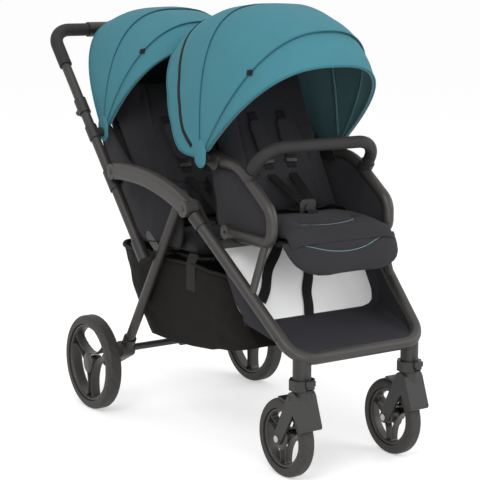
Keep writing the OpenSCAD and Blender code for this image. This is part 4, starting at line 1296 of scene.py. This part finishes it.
@dataclass
class Footwell:
    """The front footwell: a sling between the front legs, with a pale net behind it."""

    front: tuple[float, float] = (-437.0, 301.0)
    back: tuple[float, float] = (-258.0, 334.0)
    net_half: float = 197.0
    net_corner: float = 46.0
    net_foot: tuple[float, float] = (-254.0, 338.0)
    net_top: tuple[float, float] = (-150.0, 504.0)
    net_lap: float = 4.0
    leg_foot: tuple[float, float, float] = (181.0, -441.0, 287.0)
    leg_head: tuple[float, float, float] = (236.0, -85.0, 588.0)
    floor_share: float = 0.72
    sag: float = 5.0
    cloth: float = 2.4
    border_x: tuple[float, float, float] = (198.0, 199.0, 213.0)
    border_y: tuple[float, ...] = (-259.0, -259.0, -261.0, -259.0, -150.0)
    border_z: tuple[float, ...] = (331.0, 331.0, 334.0, 434.0, 522.0)

    @property
    def net_length(self) -> float:
        """The net's length from its foot to the seat."""
        return float(np.hypot(*np.subtract(self.net_top, self.net_foot)))

    def build(self) -> None:
        """Makes the sling and the net.

        The sling is flat over its middle and rises by a power curve to the leg tubes at its sides.
        """
        along, across = np.meshgrid(np.linspace(0, 1, 40), np.linspace(-1, 1, 90), indexing="ij")
        y = self.front[0] + along * (self.back[0] - self.front[0])
        base = self.front[1] + along * (self.back[1] - self.front[1])
        foot, head = self.leg_foot, self.leg_head
        share = (y - foot[1]) / (head[1] - foot[1])
        leg_x = foot[0] + (head[0] - foot[0]) * share
        leg_z = foot[2] + (head[2] - foot[2]) * share
        half = np.minimum(leg_x - 12, 160 + 44 * np.minimum(along * 5, 1))
        up = np.clip((np.abs(across) - self.floor_share) / (1 - self.floor_share), 0, 1)
        x = np.sign(across) * half * np.minimum(np.abs(across) / 0.8, 1) ** 0.9
        z = base + np.maximum(leg_z - 8 - base, 0) * up**1.6
        z = z - self.sag * np.sin(np.pi * along) * (1 - across**2) + 0.8 * ripple(x, y, 11)
        points = face_out(np.stack([x, y, z], axis=-1), np.array([0, -340.0, 900.0]))[:, ::-1]
        sling = grid_object("footwell_sling", points)
        thicken(sling, self.cloth)
        dress(sling, Body.FRONT, FOOT_CLOTH, slot="seat_fabric")
        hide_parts("footwell")
        lay_sheet(points)
        self.net()

    def net_point(self, across: np.ndarray, up: np.ndarray, lift: float = 0.0) -> np.ndarray:
        """Points on the net.

        Args:
            across: from -1 at its left edge to 1 at its right edge.
            up: from 0 at its lower edge to 1 at the seat.
            lift: how far in front of the net, in millimetres.

        Returns:
            Points in side view millimetres.
        """
        rise = self.net_corner - np.minimum(up * self.net_length, self.net_corner)
        half = self.net_half - self.net_corner + np.sqrt(self.net_corner**2 - rise**2)
        y = self.net_foot[0] + (self.net_top[0] - self.net_foot[0]) * up - lift
        z = self.net_foot[1] + (self.net_top[1] - self.net_foot[1]) * up
        y = y + self.sag * np.sin(np.pi * up) * (1 - across**2)
        return np.stack([across * half, y, z], axis=-1)

    def border(self) -> bpy.types.Object:
        """Makes the cloth round the net: a ruled band between the net's edge and the sling and legs.

        Returns:
            The border.
        """
        flat = self.net_half - self.net_corner
        arc = self.net_corner * np.pi / 2
        total = flat + arc + self.net_length - self.net_corner
        side = np.linspace(-1, 1, 161)
        way = np.abs(side) * total
        turn = np.clip((way - flat) / self.net_corner, 0, np.pi / 2)
        x = np.minimum(way, flat) + self.net_corner * np.sin(turn)
        up = (self.net_corner * (1 - np.cos(turn)) + np.maximum(way - flat - arc, 0)) / self.net_length
        foot, top = np.array(self.net_foot), np.array(self.net_top)
        edge = foot + (top - foot) * up[:, None] + np.array([self.net_lap, 0.0])
        inner = np.column_stack([np.sign(side) * x, edge])
        marks = (0, flat, flat + arc / 2, flat + arc, total)
        outer = np.column_stack(
            [
                np.sign(side) * np.interp(way, marks, (0, flat, *self.border_x)),
                np.interp(way, marks, self.border_y),
                np.interp(way, marks, self.border_z),
            ]
        )
        points = inner + (outer - inner) * np.linspace(0, 1, 9)[:, None, None]
        piece = grid_object("footwell_border", face_out(points, np.array([0.0, 200.0, 400.0])))
        thicken(piece, self.cloth)
        return dress(piece, Body.FRONT, FOOT_CLOTH, slot="seat_fabric")

    def net(self) -> None:
        """Makes the net, its middle strap, a dark band on its left side behind the strut, and its border."""
        up, across = np.meshgrid(np.linspace(0, 1, 40), np.linspace(-1, 1, 60), indexing="ij")
        points = self.net_point(across, up)
        sheet = grid_object("footwell_net", points)
        dress(sheet, Body.FRONT, NET, slot="seat_fabric")
        t = np.linspace(0, 1, 90)
        middle = self.net_point(-0.07 + 0.4 * t + 0.012 * np.sin(t * 16), t, lift=3.0)
        # a dark band in the webbing finish, laid on the net's left side behind the strut
        left = self.net_point(-0.66 + 0.5 * t + 0.02 * np.sin(t * 9), 0.25 + 0.72 * t, lift=5.0)
        straps = [
            tube_object("footwell_net_strap", middle, flat_band(26, 2.0), ACROSS),
            tube_object("footwell_net_side_band", left, flat_band(25, 2.0), ACROSS),
        ]
        for strap in straps:
            dress(strap, Body.FRONT, WEBBING, slot="seat_fabric")
        self.border()


@dataclass
class Harness:
    """A five point harness: shoulder straps with pads, lap straps and a crotch strap to the buckle."""

    name: str
    seat: Cushion
    back: Cushion
    buckle: tuple[float, float]
    joint_bodies: tuple[Body, Body]
    webbing: float = 2.2
    shoulder_width: float = 25.0
    lap_width: float = 22.0
    crotch_width: float = 30.0
    pad_size: tuple[float, float] = (40.0, 11.0)
    adjuster_size: tuple[float, float] = (33.0, 6.5)

    def strap(self, name: str, path: np.ndarray, width: float, crossing: bool = False) -> None:
        """Makes one strap of webbing.

        Args:
            name: the piece's name.
            path: points along it, in side view millimetres.
            width: its width, in millimetres.
            crossing: whether it runs between the seat and the backrest.
        """
        piece = tube_object(f"{self.name}_{name}", path, flat_band(width, self.webbing), ACROSS)
        if crossing:
            dress_bending(piece, self.joint_bodies, WEBBING)
        else:
            dress(piece, self.seat.body, WEBBING, slot="seat_fabric")

    def build(self) -> None:
        """Makes the straps, their pads and their slide adjusters."""
        y, z = self.buckle
        width, depth, _ = self.seat.size
        length = self.back.size[1]
        run = np.linspace(0, 1, 40)[:, None]
        for side in SIDES:
            start, end = np.array([side * 42, 0.2 * length]), np.array([side * 30, -0.3 * length])
            on_back = self.back.on_face(start + (end - start) * run, self.webbing)
            tail = np.array([[side * 16, y + 4, z + 38], [side * 12, y, z + 30]])
            path = spline(np.vstack([on_back[::6], tail]), 80)
            self.strap(f"shoulder_strap_{side}", path, self.shoulder_width, crossing=True)
            self.shoulder_pad(side, on_back[4:26])
            self.adjuster(side, on_back[27:30])
            hip = self.seat.on_face(np.array([[side * (width / 2 - 14), depth / 2 - 30]]), 1.0)[0]
            lap = spline(np.array([hip, [side * 70, y + 12, z + 16], [side * 18, y, z + 18]]), 40)
            self.strap(f"lap_strap_{side}", lap, self.lap_width)
        slot = self.seat.on_face(np.array([[0, y - 30 - self.seat.centre[0]]]), 0.0)[0]
        line = [slot - np.array([0, 0, 6]), slot + np.array([0, 4, 7]), [0, y - 4, z + 6], [0, y, z + 14]]
        self.strap("crotch_strap", spline(np.array(line), 40), self.crotch_width)

    def shoulder_pad(self, side: int, path: np.ndarray) -> None:
        """Makes the soft pad round one shoulder strap.

        Args:
            side: -1 for the left one, 1 for the right one.
            path: the strap's line under it.
        """
        grid = sweep(spline(path, 40) + self.back.axes[2] * 2, flat_band(*self.pad_size), ACROSS)
        middle = grid.mean(axis=1, keepdims=True)
        taper = np.sqrt(np.clip(1 - np.abs(np.linspace(-1, 1, 40)) ** 8, 0.003, 1))[:, None, None]
        grid = middle + (grid - middle) * taper
        piece = grid_object(f"{self.name}_shoulder_pad_{side}", grid, wrap_cols=True)
        dress(piece, self.back.body, SEAT, slot="seat_fabric")

    def adjuster(self, side: int, path: np.ndarray) -> None:
        """Makes the slide adjuster below one shoulder pad.

        Args:
            side: -1 for the left one, 1 for the right one.
            path: the strap's line through it.
        """
        line = spline(path, 12) + self.back.axes[2] * 1.5
        piece = tube_object(f"{self.name}_adjuster_{side}", line, flat_band(*self.adjuster_size), ACROSS)
        dress(piece, self.back.body, NYLON, slot="moulded_plastic")


@dataclass
class Fastener:
    """A rivet or screw head on the outside of a part."""

    name: str
    body: Body
    at: tuple[float, float, float]
    radius: float
    height: float
    finish: Finish

    def build(self) -> None:
        """Makes the head on both sides, a superellipse domed along X."""
        reach = np.linspace(0.03, 1, 12)[:, None]
        turn = np.linspace(0, 2 * np.pi, 28, endpoint=False)
        y = self.at[1] + self.radius * reach * np.cos(turn)
        z = self.at[2] + self.radius * reach * np.sin(turn)
        for side, word in SIDES.items():
            x = side * (self.at[0] + self.height * np.sqrt(np.clip(1 - reach**4, 0, 1)))
            points = np.stack([np.broadcast_to(x, y.shape), y, z], axis=-1)
            points = face_out(points, np.array([0, *self.at[1:]]))
            piece = grid_object(f"{self.name}_{word}", points, wrap_cols=True)
            on_left_caster = self.body is Body.CASTER_RIGHT and side < 0
            dress(piece, Body.CASTER_LEFT if on_left_caster else self.body, self.finish)


@dataclass
class Curtain:
    """The dark cloth that closes the gap between a canopy's rear edge and the backrest."""

    name: str
    canopy: Canopy
    back: Cushion
    bodies: tuple[Body, Body]
    free: float
    start: tuple[float, float]
    end: tuple[float, float]
    cloth: float = 1.6
    hollow: float = 6.0

    def build(self) -> None:
        """Makes a ruled sheet from the canopy's rear edge to the backrest's rim."""
        across = np.linspace(self.free, 1 - self.free, 121)
        panel = self.canopy.panels[-1]
        edge = self.canopy.surface(panel, np.ones_like(across), across)
        x, y, _ = ((edge - np.array([0, *self.back.centre])) @ self.back.axes.T).T
        half, top = self.back.size[0] / 2 - 10, self.back.size[1] / 2 - 6
        hem = np.column_stack([x * half / np.abs(x).max(), np.minimum(y, top), np.full(len(x), 2.0)])
        share = np.linspace(0, 1, 18)[:, None, None]
        points = self.back.world(hem) + (edge - self.back.world(hem)) * share
        points = points - self.back.axes[2] * self.hollow * np.sin(np.pi * share)
        sheet = grid_object(self.name, face_out(points, self.canopy.middle))
        thicken(sheet, self.cloth)
        ends = self.back.world(np.array([[0, *self.start], [0, *self.end]]))
        dress_bending(sheet, self.bodies, CURTAIN)
        lay_sheet(points)


@dataclass
class Apron:
    """The cloth that carries the front seat's face over its front edge onto the leg rest."""

    half: float = 147.0
    fold_y: tuple[float, ...] = (-337, -347, -356, -364.5, -371, -375.5)
    fold_z: tuple[float, ...] = (560, 560, 555, 546.5, 537.5, 531)
    bend: tuple[tuple[float, float, float], ...] = ((0, -348, 565), (0, -373, 533))
    droop: float = 9.0
    cloth: float = 2.0
    ease: float = 1.02

    def build(self) -> None:
        """Makes a sheet along the fold's line that droops by a power curve at its two edges."""
        line = spline(np.column_stack([self.fold_y, self.fold_z]), 48)
        across = np.linspace(-1, 1, 70)
        z = line[:, 1:] - self.droop * np.abs(across) ** 10
        x, y = np.broadcast_to(self.half * across, z.shape), np.broadcast_to(line[:, :1], z.shape)
        points = face_out(np.stack([x, y, z], axis=-1), np.array([0.0, -300.0, 500.0]))
        sheet = grid_object("calf_rest_apron", points)
        thicken(sheet, self.cloth)
        dress_bending(sheet, (Body.FRONT, Body.CALF), SEAT)
        length = float(lengths(line[:, None], 0)[-1].max())


@dataclass
class WheelRim:
    """A moulded wheel: a deep barrel, three windows with walls right through it and a domed hub."""

    name: str
    node: str
    tyre: str
    body: Body
    hub_radius: float = 17.0
    wall: float = 3.6
    barrel: float = 7.0
    slot_half: float = 7.0
    inset: float = 8.0
    cap_rise: float = 7.0
    cap_stretch: tuple[float, float] = (0.95, 1.3)
    window_turns: tuple[float, ...] = (90.0, 210.0, 330.0)

    def window(self, radius: float, turn: float) -> np.ndarray:
        """A window's outline: a parabola round the hub, closed by an arc inside the barrel.

        Args:
            radius: the arc's radius.
            turn: the direction of the window's middle, in radians.

        Returns:
            Points along Y and up.
        """
        end = np.radians(60 - self.slot_half)
        wide, far = radius * np.sin(end), radius * np.cos(end)
        near = self.hub_radius + 4
        s = np.linspace(-wide, wide, 60, endpoint=False)
        bowl = np.column_stack([s, near + (far - near) * (s / wide) ** 2])
        a = np.linspace(end, -end, 60, endpoint=False)
        arc = radius * np.column_stack([np.sin(a), np.cos(a)])
        loop = np.vstack([bowl, arc])
        soft = np.hanning(13) / np.hanning(13).sum()
        loop = np.stack([np.convolve(np.pad(c, 6, "wrap"), soft, "valid") for c in loop.T], axis=1)
        return loop @ np.array([[np.sin(turn), -np.cos(turn)], [np.cos(turn), np.sin(turn)]])

    def lathe(self, profile: np.ndarray, stretch: tuple[float, float] = (1.0, 1.0)) -> np.ndarray:
        """Turns a profile about the axle, by a cosine along Y and a sine up.

        Args:
            profile: points along the axle and away from it.
            stretch: how far the turned shape is stretched along Y and up.

        Returns:
            A grid of points round the axle.
        """
        a = np.linspace(0, 2 * np.pi, 96, endpoint=False)[:, None]
        along, away = profile[:, 0], profile[:, 1]
        x = np.broadcast_to(along, (96, len(profile)))
        return np.stack([x, stretch[0] * away * np.cos(a), stretch[1] * away * np.sin(a)], axis=-1)

    def build(self) -> None:
        """Makes the barrel, the window walls, the hub and its cap as one piece."""
        low, high = (np.array(c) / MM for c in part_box(self.node))
        tyre_low, tyre_high = (np.array(c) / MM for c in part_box(self.tyre))
        centre = (tyre_low + tyre_high) / 2 - np.array([0, Y_SHIFT, 0])
        outside = np.sign(centre[0])
        radius = (high[2] - low[2]) / 2
        depth = (tyre_high[0] - tyre_low[0] - self.inset) / 2
        ring = flat_band(2 * depth, self.barrel) + np.array([0, radius - self.barrel / 2])
        grids = [(self.lathe(ring), True)]
        section = flat_band(2 * depth - 6, self.wall)
        for turn in np.radians(self.window_turns):
            loop = self.window(radius - self.barrel + 1, turn)
            inward = loop.mean(axis=0) - loop
            inward /= np.linalg.norm(inward, axis=1, keepdims=True)
            plan = loop[:, None] + inward[:, None] * (section[:, 1] + self.wall / 2)[None, :, None]
            along = np.broadcast_to(section[:, 0], plan.shape[:2])
            grids.append((np.concatenate([along[..., None], plan], axis=-1), True))
        reach = (high[0] if outside > 0 else -low[0]) - abs(centre[0])
        inner = abs(centre[0]) - (low[0] if outside > 0 else -high[0])
        r = self.hub_radius
        inside = [[-inner, r - 6], [-inner, r - 1], [-inner + 2, r]]
        boss = np.array(inside + [[reach - 6, r], [reach - 4, r - 2], [reach - 4, r - 8]])
        grids.append((self.lathe(boss * [outside, 1]), False))
        t = np.linspace(0.02, 1, 14)
        rise = self.cap_rise * np.sqrt(np.clip(1 - t**4, 0, 1))
        dome = np.column_stack([reach - self.cap_rise + rise, (r + 5) * t])
        grids.append((self.lathe(dome * [outside, 1], self.cap_stretch), False))
        points, faces, count = [], [], 0
        for grid, closed in grids:
            points.append(grid.reshape(-1, 3) + centre)
            faces.append(grid_faces(grid.shape, True, closed) + count)
            count += len(points[-1])
        piece = mesh_object(self.name, np.vstack(points), np.vstack(faces))
        mesh = bmesh.new()
        mesh.from_mesh(piece.data)
        bmesh.ops.recalc_face_normals(mesh, faces=mesh.faces)
        mesh.to_mesh(piece.data)
        mesh.free()
        dress(piece, self.body, RIM_NYLON, slot="moulded_plastic")
        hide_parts(self.node)


@dataclass
class Studio:
    """The camera at the photo's angle, soft lights and a white floor."""

    position: tuple[float, float, float] = (-2090.0, -3079.1, 1128.6)
    azimuth: float = -33.709
    pitch: float = 9.92
    lens: float = 113.94
    target: tuple[float, float, float] = (0.0, -0.05, 0.45)
    floor_half: float = 60.0
    floor_glow: float = 0.42
    sky_light: float = 0.7
    lights: tuple[tuple[str, tuple[float, float, float], float, float], ...] = (
        ("key", (-2.6, -2.4, 3.4), 2.4, 72.0),
        ("fill", (2.8, -2.2, 1.9), 2.6, 36.0),
        ("front", (-1.0, -3.6, 0.9), 1.8, 26.0),
        ("top", (0.2, 0.6, 3.6), 3.0, 14.0),
    )

    def build(self) -> None:
        """Places the camera, the lights, the floor and the world."""
        scene = bpy.context.scene
        camera = bpy.data.objects.new("camera", bpy.data.cameras.new("camera"))
        camera.data.lens = self.lens
        camera.data.sensor_width = 36.0
        scene.collection.objects.link(camera)
        a, p = np.radians(self.azimuth), np.radians(self.pitch)
        forward = Vector((-np.sin(a) * np.cos(p), np.cos(a) * np.cos(p), -np.sin(p)))
        right = forward.cross(Vector((0, 0, 1))).normalized()
        up = right.cross(forward)
        turn = Matrix((right, up, -forward)).transposed().to_4x4()
        camera.matrix_world = Matrix.Translation(Vector(to_row(np.array(self.position)))) @ turn
        scene.camera = camera
        scene.view_settings.view_transform = "Standard"
        staged = [camera, self.floor()]
        for name, place, size, power in self.lights:
            lamp = bpy.data.lights.new(name, "AREA")
            lamp.shape = "DISK"
            lamp.size = size
            lamp.energy = power
            light = bpy.data.objects.new(name, lamp)
            light.location = place
            aim = Vector(self.target) - Vector(place)
            light.rotation_euler = aim.to_track_quat("-Z", "Y").to_euler()
            scene.collection.objects.link(light)
            staged.append(light)
        self.world()

    def seen(self, tree: bpy.types.NodeTree) -> bpy.types.NodeSocket:
        """Tells rays that show the background from those that only light the part.

        Args:
            tree: the node tree to add to.

        Returns:
            A socket that is above zero for camera, glossy and transmission rays.
        """
        rays = add_node(tree, "LightPath").outputs
        direct = {0: rays["Is Camera Ray"], 1: rays["Is Glossy Ray"]}
        first = add_node(tree, "Math", direct, operation="MAXIMUM").outputs[0]
        through = {0: first, 1: rays["Is Transmission Ray"]}
        return add_node(tree, "Math", through, operation="MAXIMUM").outputs[0]

    def floor(self) -> bpy.types.Object:
        """Makes the floor: white to the eye, but it keeps the shadows.

        Returns:
            The floor.
        """
        mesh = bpy.data.meshes.new("floor")
        h = self.floor_half
        mesh.from_pydata([(-h, -h, 0), (h, -h, 0), (h, h, 0), (-h, h, 0)], [], [(0, 1, 2, 3)])
        material = bpy.data.materials.new("white_studio_floor")
        material.use_nodes = True
        tree = material.node_tree
        tree.nodes.clear()
        matt = add_node(tree, "BsdfDiffuse", {"Color": (0.8, 0.8, 0.8, 1)})
        glow = add_node(tree, "Emission", {"Color": (1, 1, 1, 1)})
        level = add_node(tree, "Math", {0: self.seen(tree), 1: self.floor_glow}, operation="MULTIPLY")
        tree.links.new(level.outputs[0], glow.inputs["Strength"])
        both = add_node(tree, "AddShader", {0: matt.outputs[0], 1: glow.outputs[0]})
        add_node(tree, "OutputMaterial", {"Surface": both.outputs[0]})
        mesh.materials.append(material)
        floor = bpy.data.objects.new("floor", mesh)
        bpy.context.scene.collection.objects.link(floor)
        return floor

    def world(self) -> None:
        """Makes the world: white behind the part, and a soft fill from all round."""
        world = bpy.data.worlds.new("studio")
        world.use_nodes = True
        tree = world.node_tree
        tree.nodes.clear()
        share = {"Value": self.seen(tree), "To Min": self.sky_light, "To Max": 1.0}
        level = add_node(tree, "MapRange", share).outputs["Result"]
        sky = add_node(tree, "Background", {"Color": (1, 1, 1, 1), "Strength": level})
        add_node(tree, "OutputWorld", {"Surface": sky.outputs[0]})
        bpy.context.scene.world = world


FRONT_CANOPY = Canopy(
    name="front_canopy",
    hub=(-86.0, 705.0),
    hub_body=Body.FRONT,
    rests_on="front_canopy_hubs",
    seed=3,
    panels=(
        Panel(
            node="front_canopy_visor",
            body=Body.FRONT_VISOR,
            half=202.0,
            angles=(41.0, 55.5),
            crown=((41, 334), (47, 352), (55.5, 364)),
            square=(2.75, 2.45),
            edges=(2.4, 0),
        ),
        Panel(
            node="front_canopy_middle",
            body=Body.FRONT_MIDDLE,
            half=205.0,
            angles=(54.0, 93.0),
            crown=((54, 368), (70, 357), (84, 359), (93, 352)),
            square=(2.45, 3.0),
            edges=(1.3, 0),
            tag_at=0.78,
        ),
        Panel(
            node="front_canopy_rear",
            body=Body.FRONT,
            half=207.0,
            angles=(92.0, 133.0),
            crown=((92, 355), (110, 358), (125, 364), (133, 367)),
            square=(3.0, 3.0),
            edges=(1.1, 2.6),
            zip_at=0.62,
            skirt=((60, 176), (94, 172), (150, 152), (216, 140), (300, 134), (367, 133)),
        ),
    ),
)
REAR_CANOPY = Canopy(
    name="rear_canopy",
    hub=(382.8, 726.0),
    hub_body=Body.HANDLE,
    rests_on="pusher_clamps",
    seed=8,
    panels=(
        Panel(
            node="rear_canopy_visor",
            body=Body.REAR_VISOR,
            half=202.0,
            angles=(47.0, 61.0),
            crown=((47, 310), (53, 321), (61, 326)),
            square=(2.7, 2.45),
            edges=(2.4, 0),
        ),
        Panel(
            node="rear_canopy_middle",
            body=Body.REAR_MIDDLE,
            half=205.0,
            angles=(60.0, 85.0),
            crown=((60, 330), (72, 319), (85, 313)),
            square=(2.45, 2.7),
            edges=(1.3, 0),
            tag_at=0.76,
        ),
        Panel(
            node="rear_canopy_rear",
            body=Body.HANDLE,
            half=207.0,
            angles=(84.0, 121.0),
            crown=((84, 317), (100, 320), (112, 329), (121, 336)),
            square=(2.7, 2.8),
            edges=(0.7, 2.6),
        ),
    ),
)


def on_back(pivot: tuple[float, float], lean: float, along: float, out: float) -> tuple[float, float]:
    """A point on a backrest in the side view.

    Args:
        pivot: the backrest's pivot.
        lean: its lean from vertical, in degrees.
        along: the way up the back from the pivot.
        out: the way out of its face.

    Returns:
        The point's y and z.
    """
    a = np.radians(lean)
    return (
        float(pivot[0] + along * np.sin(a) - out * np.cos(a)),
        float(pivot[1] + along * np.cos(a) + out * np.sin(a)),
    )


BACK_START = 26.0
BOARD_GAP = 0.4
BACK_THICKNESS = 38.0
LEG_REST_PIVOT = (-347.5, 537.0)


def back_cushion(
    name: str,
    node: str,
    body: Body,
    pivot: tuple[float, float],
    lean: float,
    half: float,
    length: float,
) -> Cushion:
    """A backrest's pad with a middle panel between two side bolsters.

    Args:
        name: the pad's name.
        node: the CAD node it stands for.
        body: the body it rides on.
        pivot: the backrest's pivot.
        lean: its lean from vertical, in degrees.
        half: half the pad's width.
        length: the backrest's length.

    Returns:
        The pad.
    """
    pad_len = length - BACK_START
    h = pad_len / 2
    bolster = ((100, -h + 8), (92, -h * 0.4), (84, h * 0.25), (66, h * 0.75), (58, h - 10))
    seams = tuple(tuple((side * x, y) for x, y in bolster) for side in SIDES)
    return Cushion(
        name=name,
        node=node,
        body=body,
        centre=on_back(pivot, lean, BACK_START + h, BOARD_GAP),
        lean=90 - lean,
        size=(2 * half, pad_len, BACK_THICKNESS),
        seams=seams + (((-90, -h * 0.52), (0, -h * 0.58), (90, -h * 0.52)),),
    )


FRONT_BACK = back_cushion(
    "front_back_cushion", "front_back_pad", Body.FRONT_BACK, (-148, 535), lean=28, half=146.5, length=385
)
REAR_BACK = back_cushion(
    "rear_back_cushion", "rear_back_pad", Body.REAR_BACK, (197.37, 478.46), lean=36, half=172, length=440
)
FRONT_SEAT = Cushion(
    name="front_seat_cushion",
    node="front_seat_pad",
    body=Body.FRONT,
    centre=(-262.0, 535.0),
    lean=0,
    size=(297, 198, 30),
    roll=11.0,
    seams=(((-76, -46), (-40, -58), (0, -62), (40, -58), (76, -46), (84, -32)),),
    threads=(0,),
)
REAR_SEAT = Cushion(
    name="rear_seat_cushion",
    node="rear_seat_pad",
    body=Body.HANDLE,
    centre=(84.9, 449.9),
    lean=0,
    size=(350, 205, 42),
    seams=(((-110, -60), (0, -76), (110, -60)),),
)
LEG_REST = Cushion(
    name="calf_rest_cushion",
    node="leg_rest",
    body=Body.CALF,
    centre=on_back(LEG_REST_PIVOT, 38.0, -51.0, -7.0),
    lean=52,
    size=(326, 94, 22),
    seams=(((-128, 40), (-93, 25), (-50, 10), (0, 4), (50, 10), (93, 25), (128, 40)),),
    threads=(0,),
    round_end=0.985,
    fill=0.5,
)


FRONT_SIDES = SidePanel(
    name="front_side_panel",
    body=Body.FRONT,
    outline=(
        *((-50, 722), (-108, 699), (-180, 690), (-260, 648), (-318, 600)),
        *((-322, 545), (-240, 538), (-108, 536), (-82, 612)),
    ),
    x=160.0,
    bulge=7.0,
    rests_on="front_seat_frame",
    seed=21,
)
REAR_SIDES = SidePanel(
    name="rear_side_panel",
    body=Body.HANDLE,
    outline=(
        *((44, 472), (140, 470), (232, 468), (290, 526), (345, 590), (390, 642)),
        *((430, 700), (402, 744), (345, 702), (296, 662), (222, 636), (54, 580)),
    ),
    x=180.5,
    bulge=5.0,
    rests_on="rear_seat_frame",
    seed=22,
)
FRONT_CURTAIN = Curtain(
    name="front_canopy_curtain",
    canopy=FRONT_CANOPY,
    back=FRONT_BACK,
    bodies=(Body.FRONT, Body.FRONT_BACK),
    free=0.06,
    start=(0.0, -62.0),
    end=(0.0, -6.0),
)
REAR_CURTAIN = Curtain(
    name="rear_canopy_curtain",
    canopy=REAR_CANOPY,
    back=REAR_BACK,
    bodies=(Body.HANDLE, Body.REAR_BACK),
    free=0.13,
    start=(400.0, 0.0),
    end=(205.0, 0.0),
)
FRONT_HARNESS = Harness(
    "front_harness", FRONT_SEAT, FRONT_BACK, (-226.0, 569.0), (Body.FRONT, Body.FRONT_BACK)
)
REAR_HARNESS = Harness("rear_harness", REAR_SEAT, REAR_BACK, (121.4, 498.0), (Body.HANDLE, Body.REAR_BACK))
FASTENERS = (
    Fastener("armrest_front_rivet", Body.ARMS, (255.0, -85.0, 588.0), 8.0, 2.6, NYLON),
    Fastener("armrest_rear_rivet", Body.ARMS, (255.0, 258.8, 639.3), 8.0, 2.6, NYLON),
    Fastener("leg_upper_rivet", Body.FRONT, (236.0, -170.0, 516.1), 4.5, 2.0, NYLON),
    Fastener("leg_lower_rivet", Body.FRONT, (202.5, -390.0, 330.1), 4.5, 2.0, NYLON),
    Fastener("fork_screw", Body.CASTER_RIGHT, (182.0, -414.0, 196.0), 6.0, 1.8, NYLON),
    Fastener("rear_bracket_screw", Body.REAR_LEGS, (219.8, 300.0, 160.0), 6.0, 1.6, NYLON),
)


def calf_barrel() -> None:
    """Makes the leg rest's pivot barrel with a pin at each end."""
    for name, half, radius in (("calf_rest_barrel", 117.5, 7.0), ("calf_rest_pins", 127.0, 4.0)):
        path = np.linspace([-half, *LEG_REST_PIVOT], [half, *LEG_REST_PIVOT], 8)
        piece = tube_object(name, path, circle(radius, 24), ALONG)
        dress(piece, Body.CALF, NYLON, slot="moulded_plastic")


def dress_frame() -> None:
    """Gives every CAD node that stays in view its finish."""
    for finish, nodes in CAD_FINISHES.items():
        for name in nodes:
            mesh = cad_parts[name].data
            mesh.materials.clear()
            mesh.materials.append(finish.material())


def build_part() -> None:
    """Makes every soft piece and fitting on the frame."""
    dress_frame()
    for canopy in (FRONT_CANOPY, REAR_CANOPY):
        canopy.build()
    for pad in (FRONT_SEAT, FRONT_BACK, LEG_REST, REAR_SEAT, REAR_BACK):
        pad.build()
    FRONT_SIDES.build("front_seat_wings")
    REAR_SIDES.build("rear_seat_wings")
    Basket().build()
    Footwell().build()
    calf_barrel()
    Apron().build()
    for curtain in (FRONT_CURTAIN, REAR_CURTAIN):
        curtain.build()
    for place in ("rear", "front"):
        for side in SIDES.values():
            wheel = WheelRim(
                name=f"{place}_wheel_moulding_{side}",
                node=f"{place}_rim_{side}",
                tyre=f"{place}_tyre_{side}",
                body=Body(f"{place}_wheel_{side}"),
            )
            wheel.build()
    for fitting in (FRONT_HARNESS, REAR_HARNESS, *FASTENERS):
        fitting.build()


def main() -> None:
    """Builds the scene."""
    logging.basicConfig(level=logging.INFO)
    Studio().build()
    build_part()


if __name__ == "__main__":
    main()
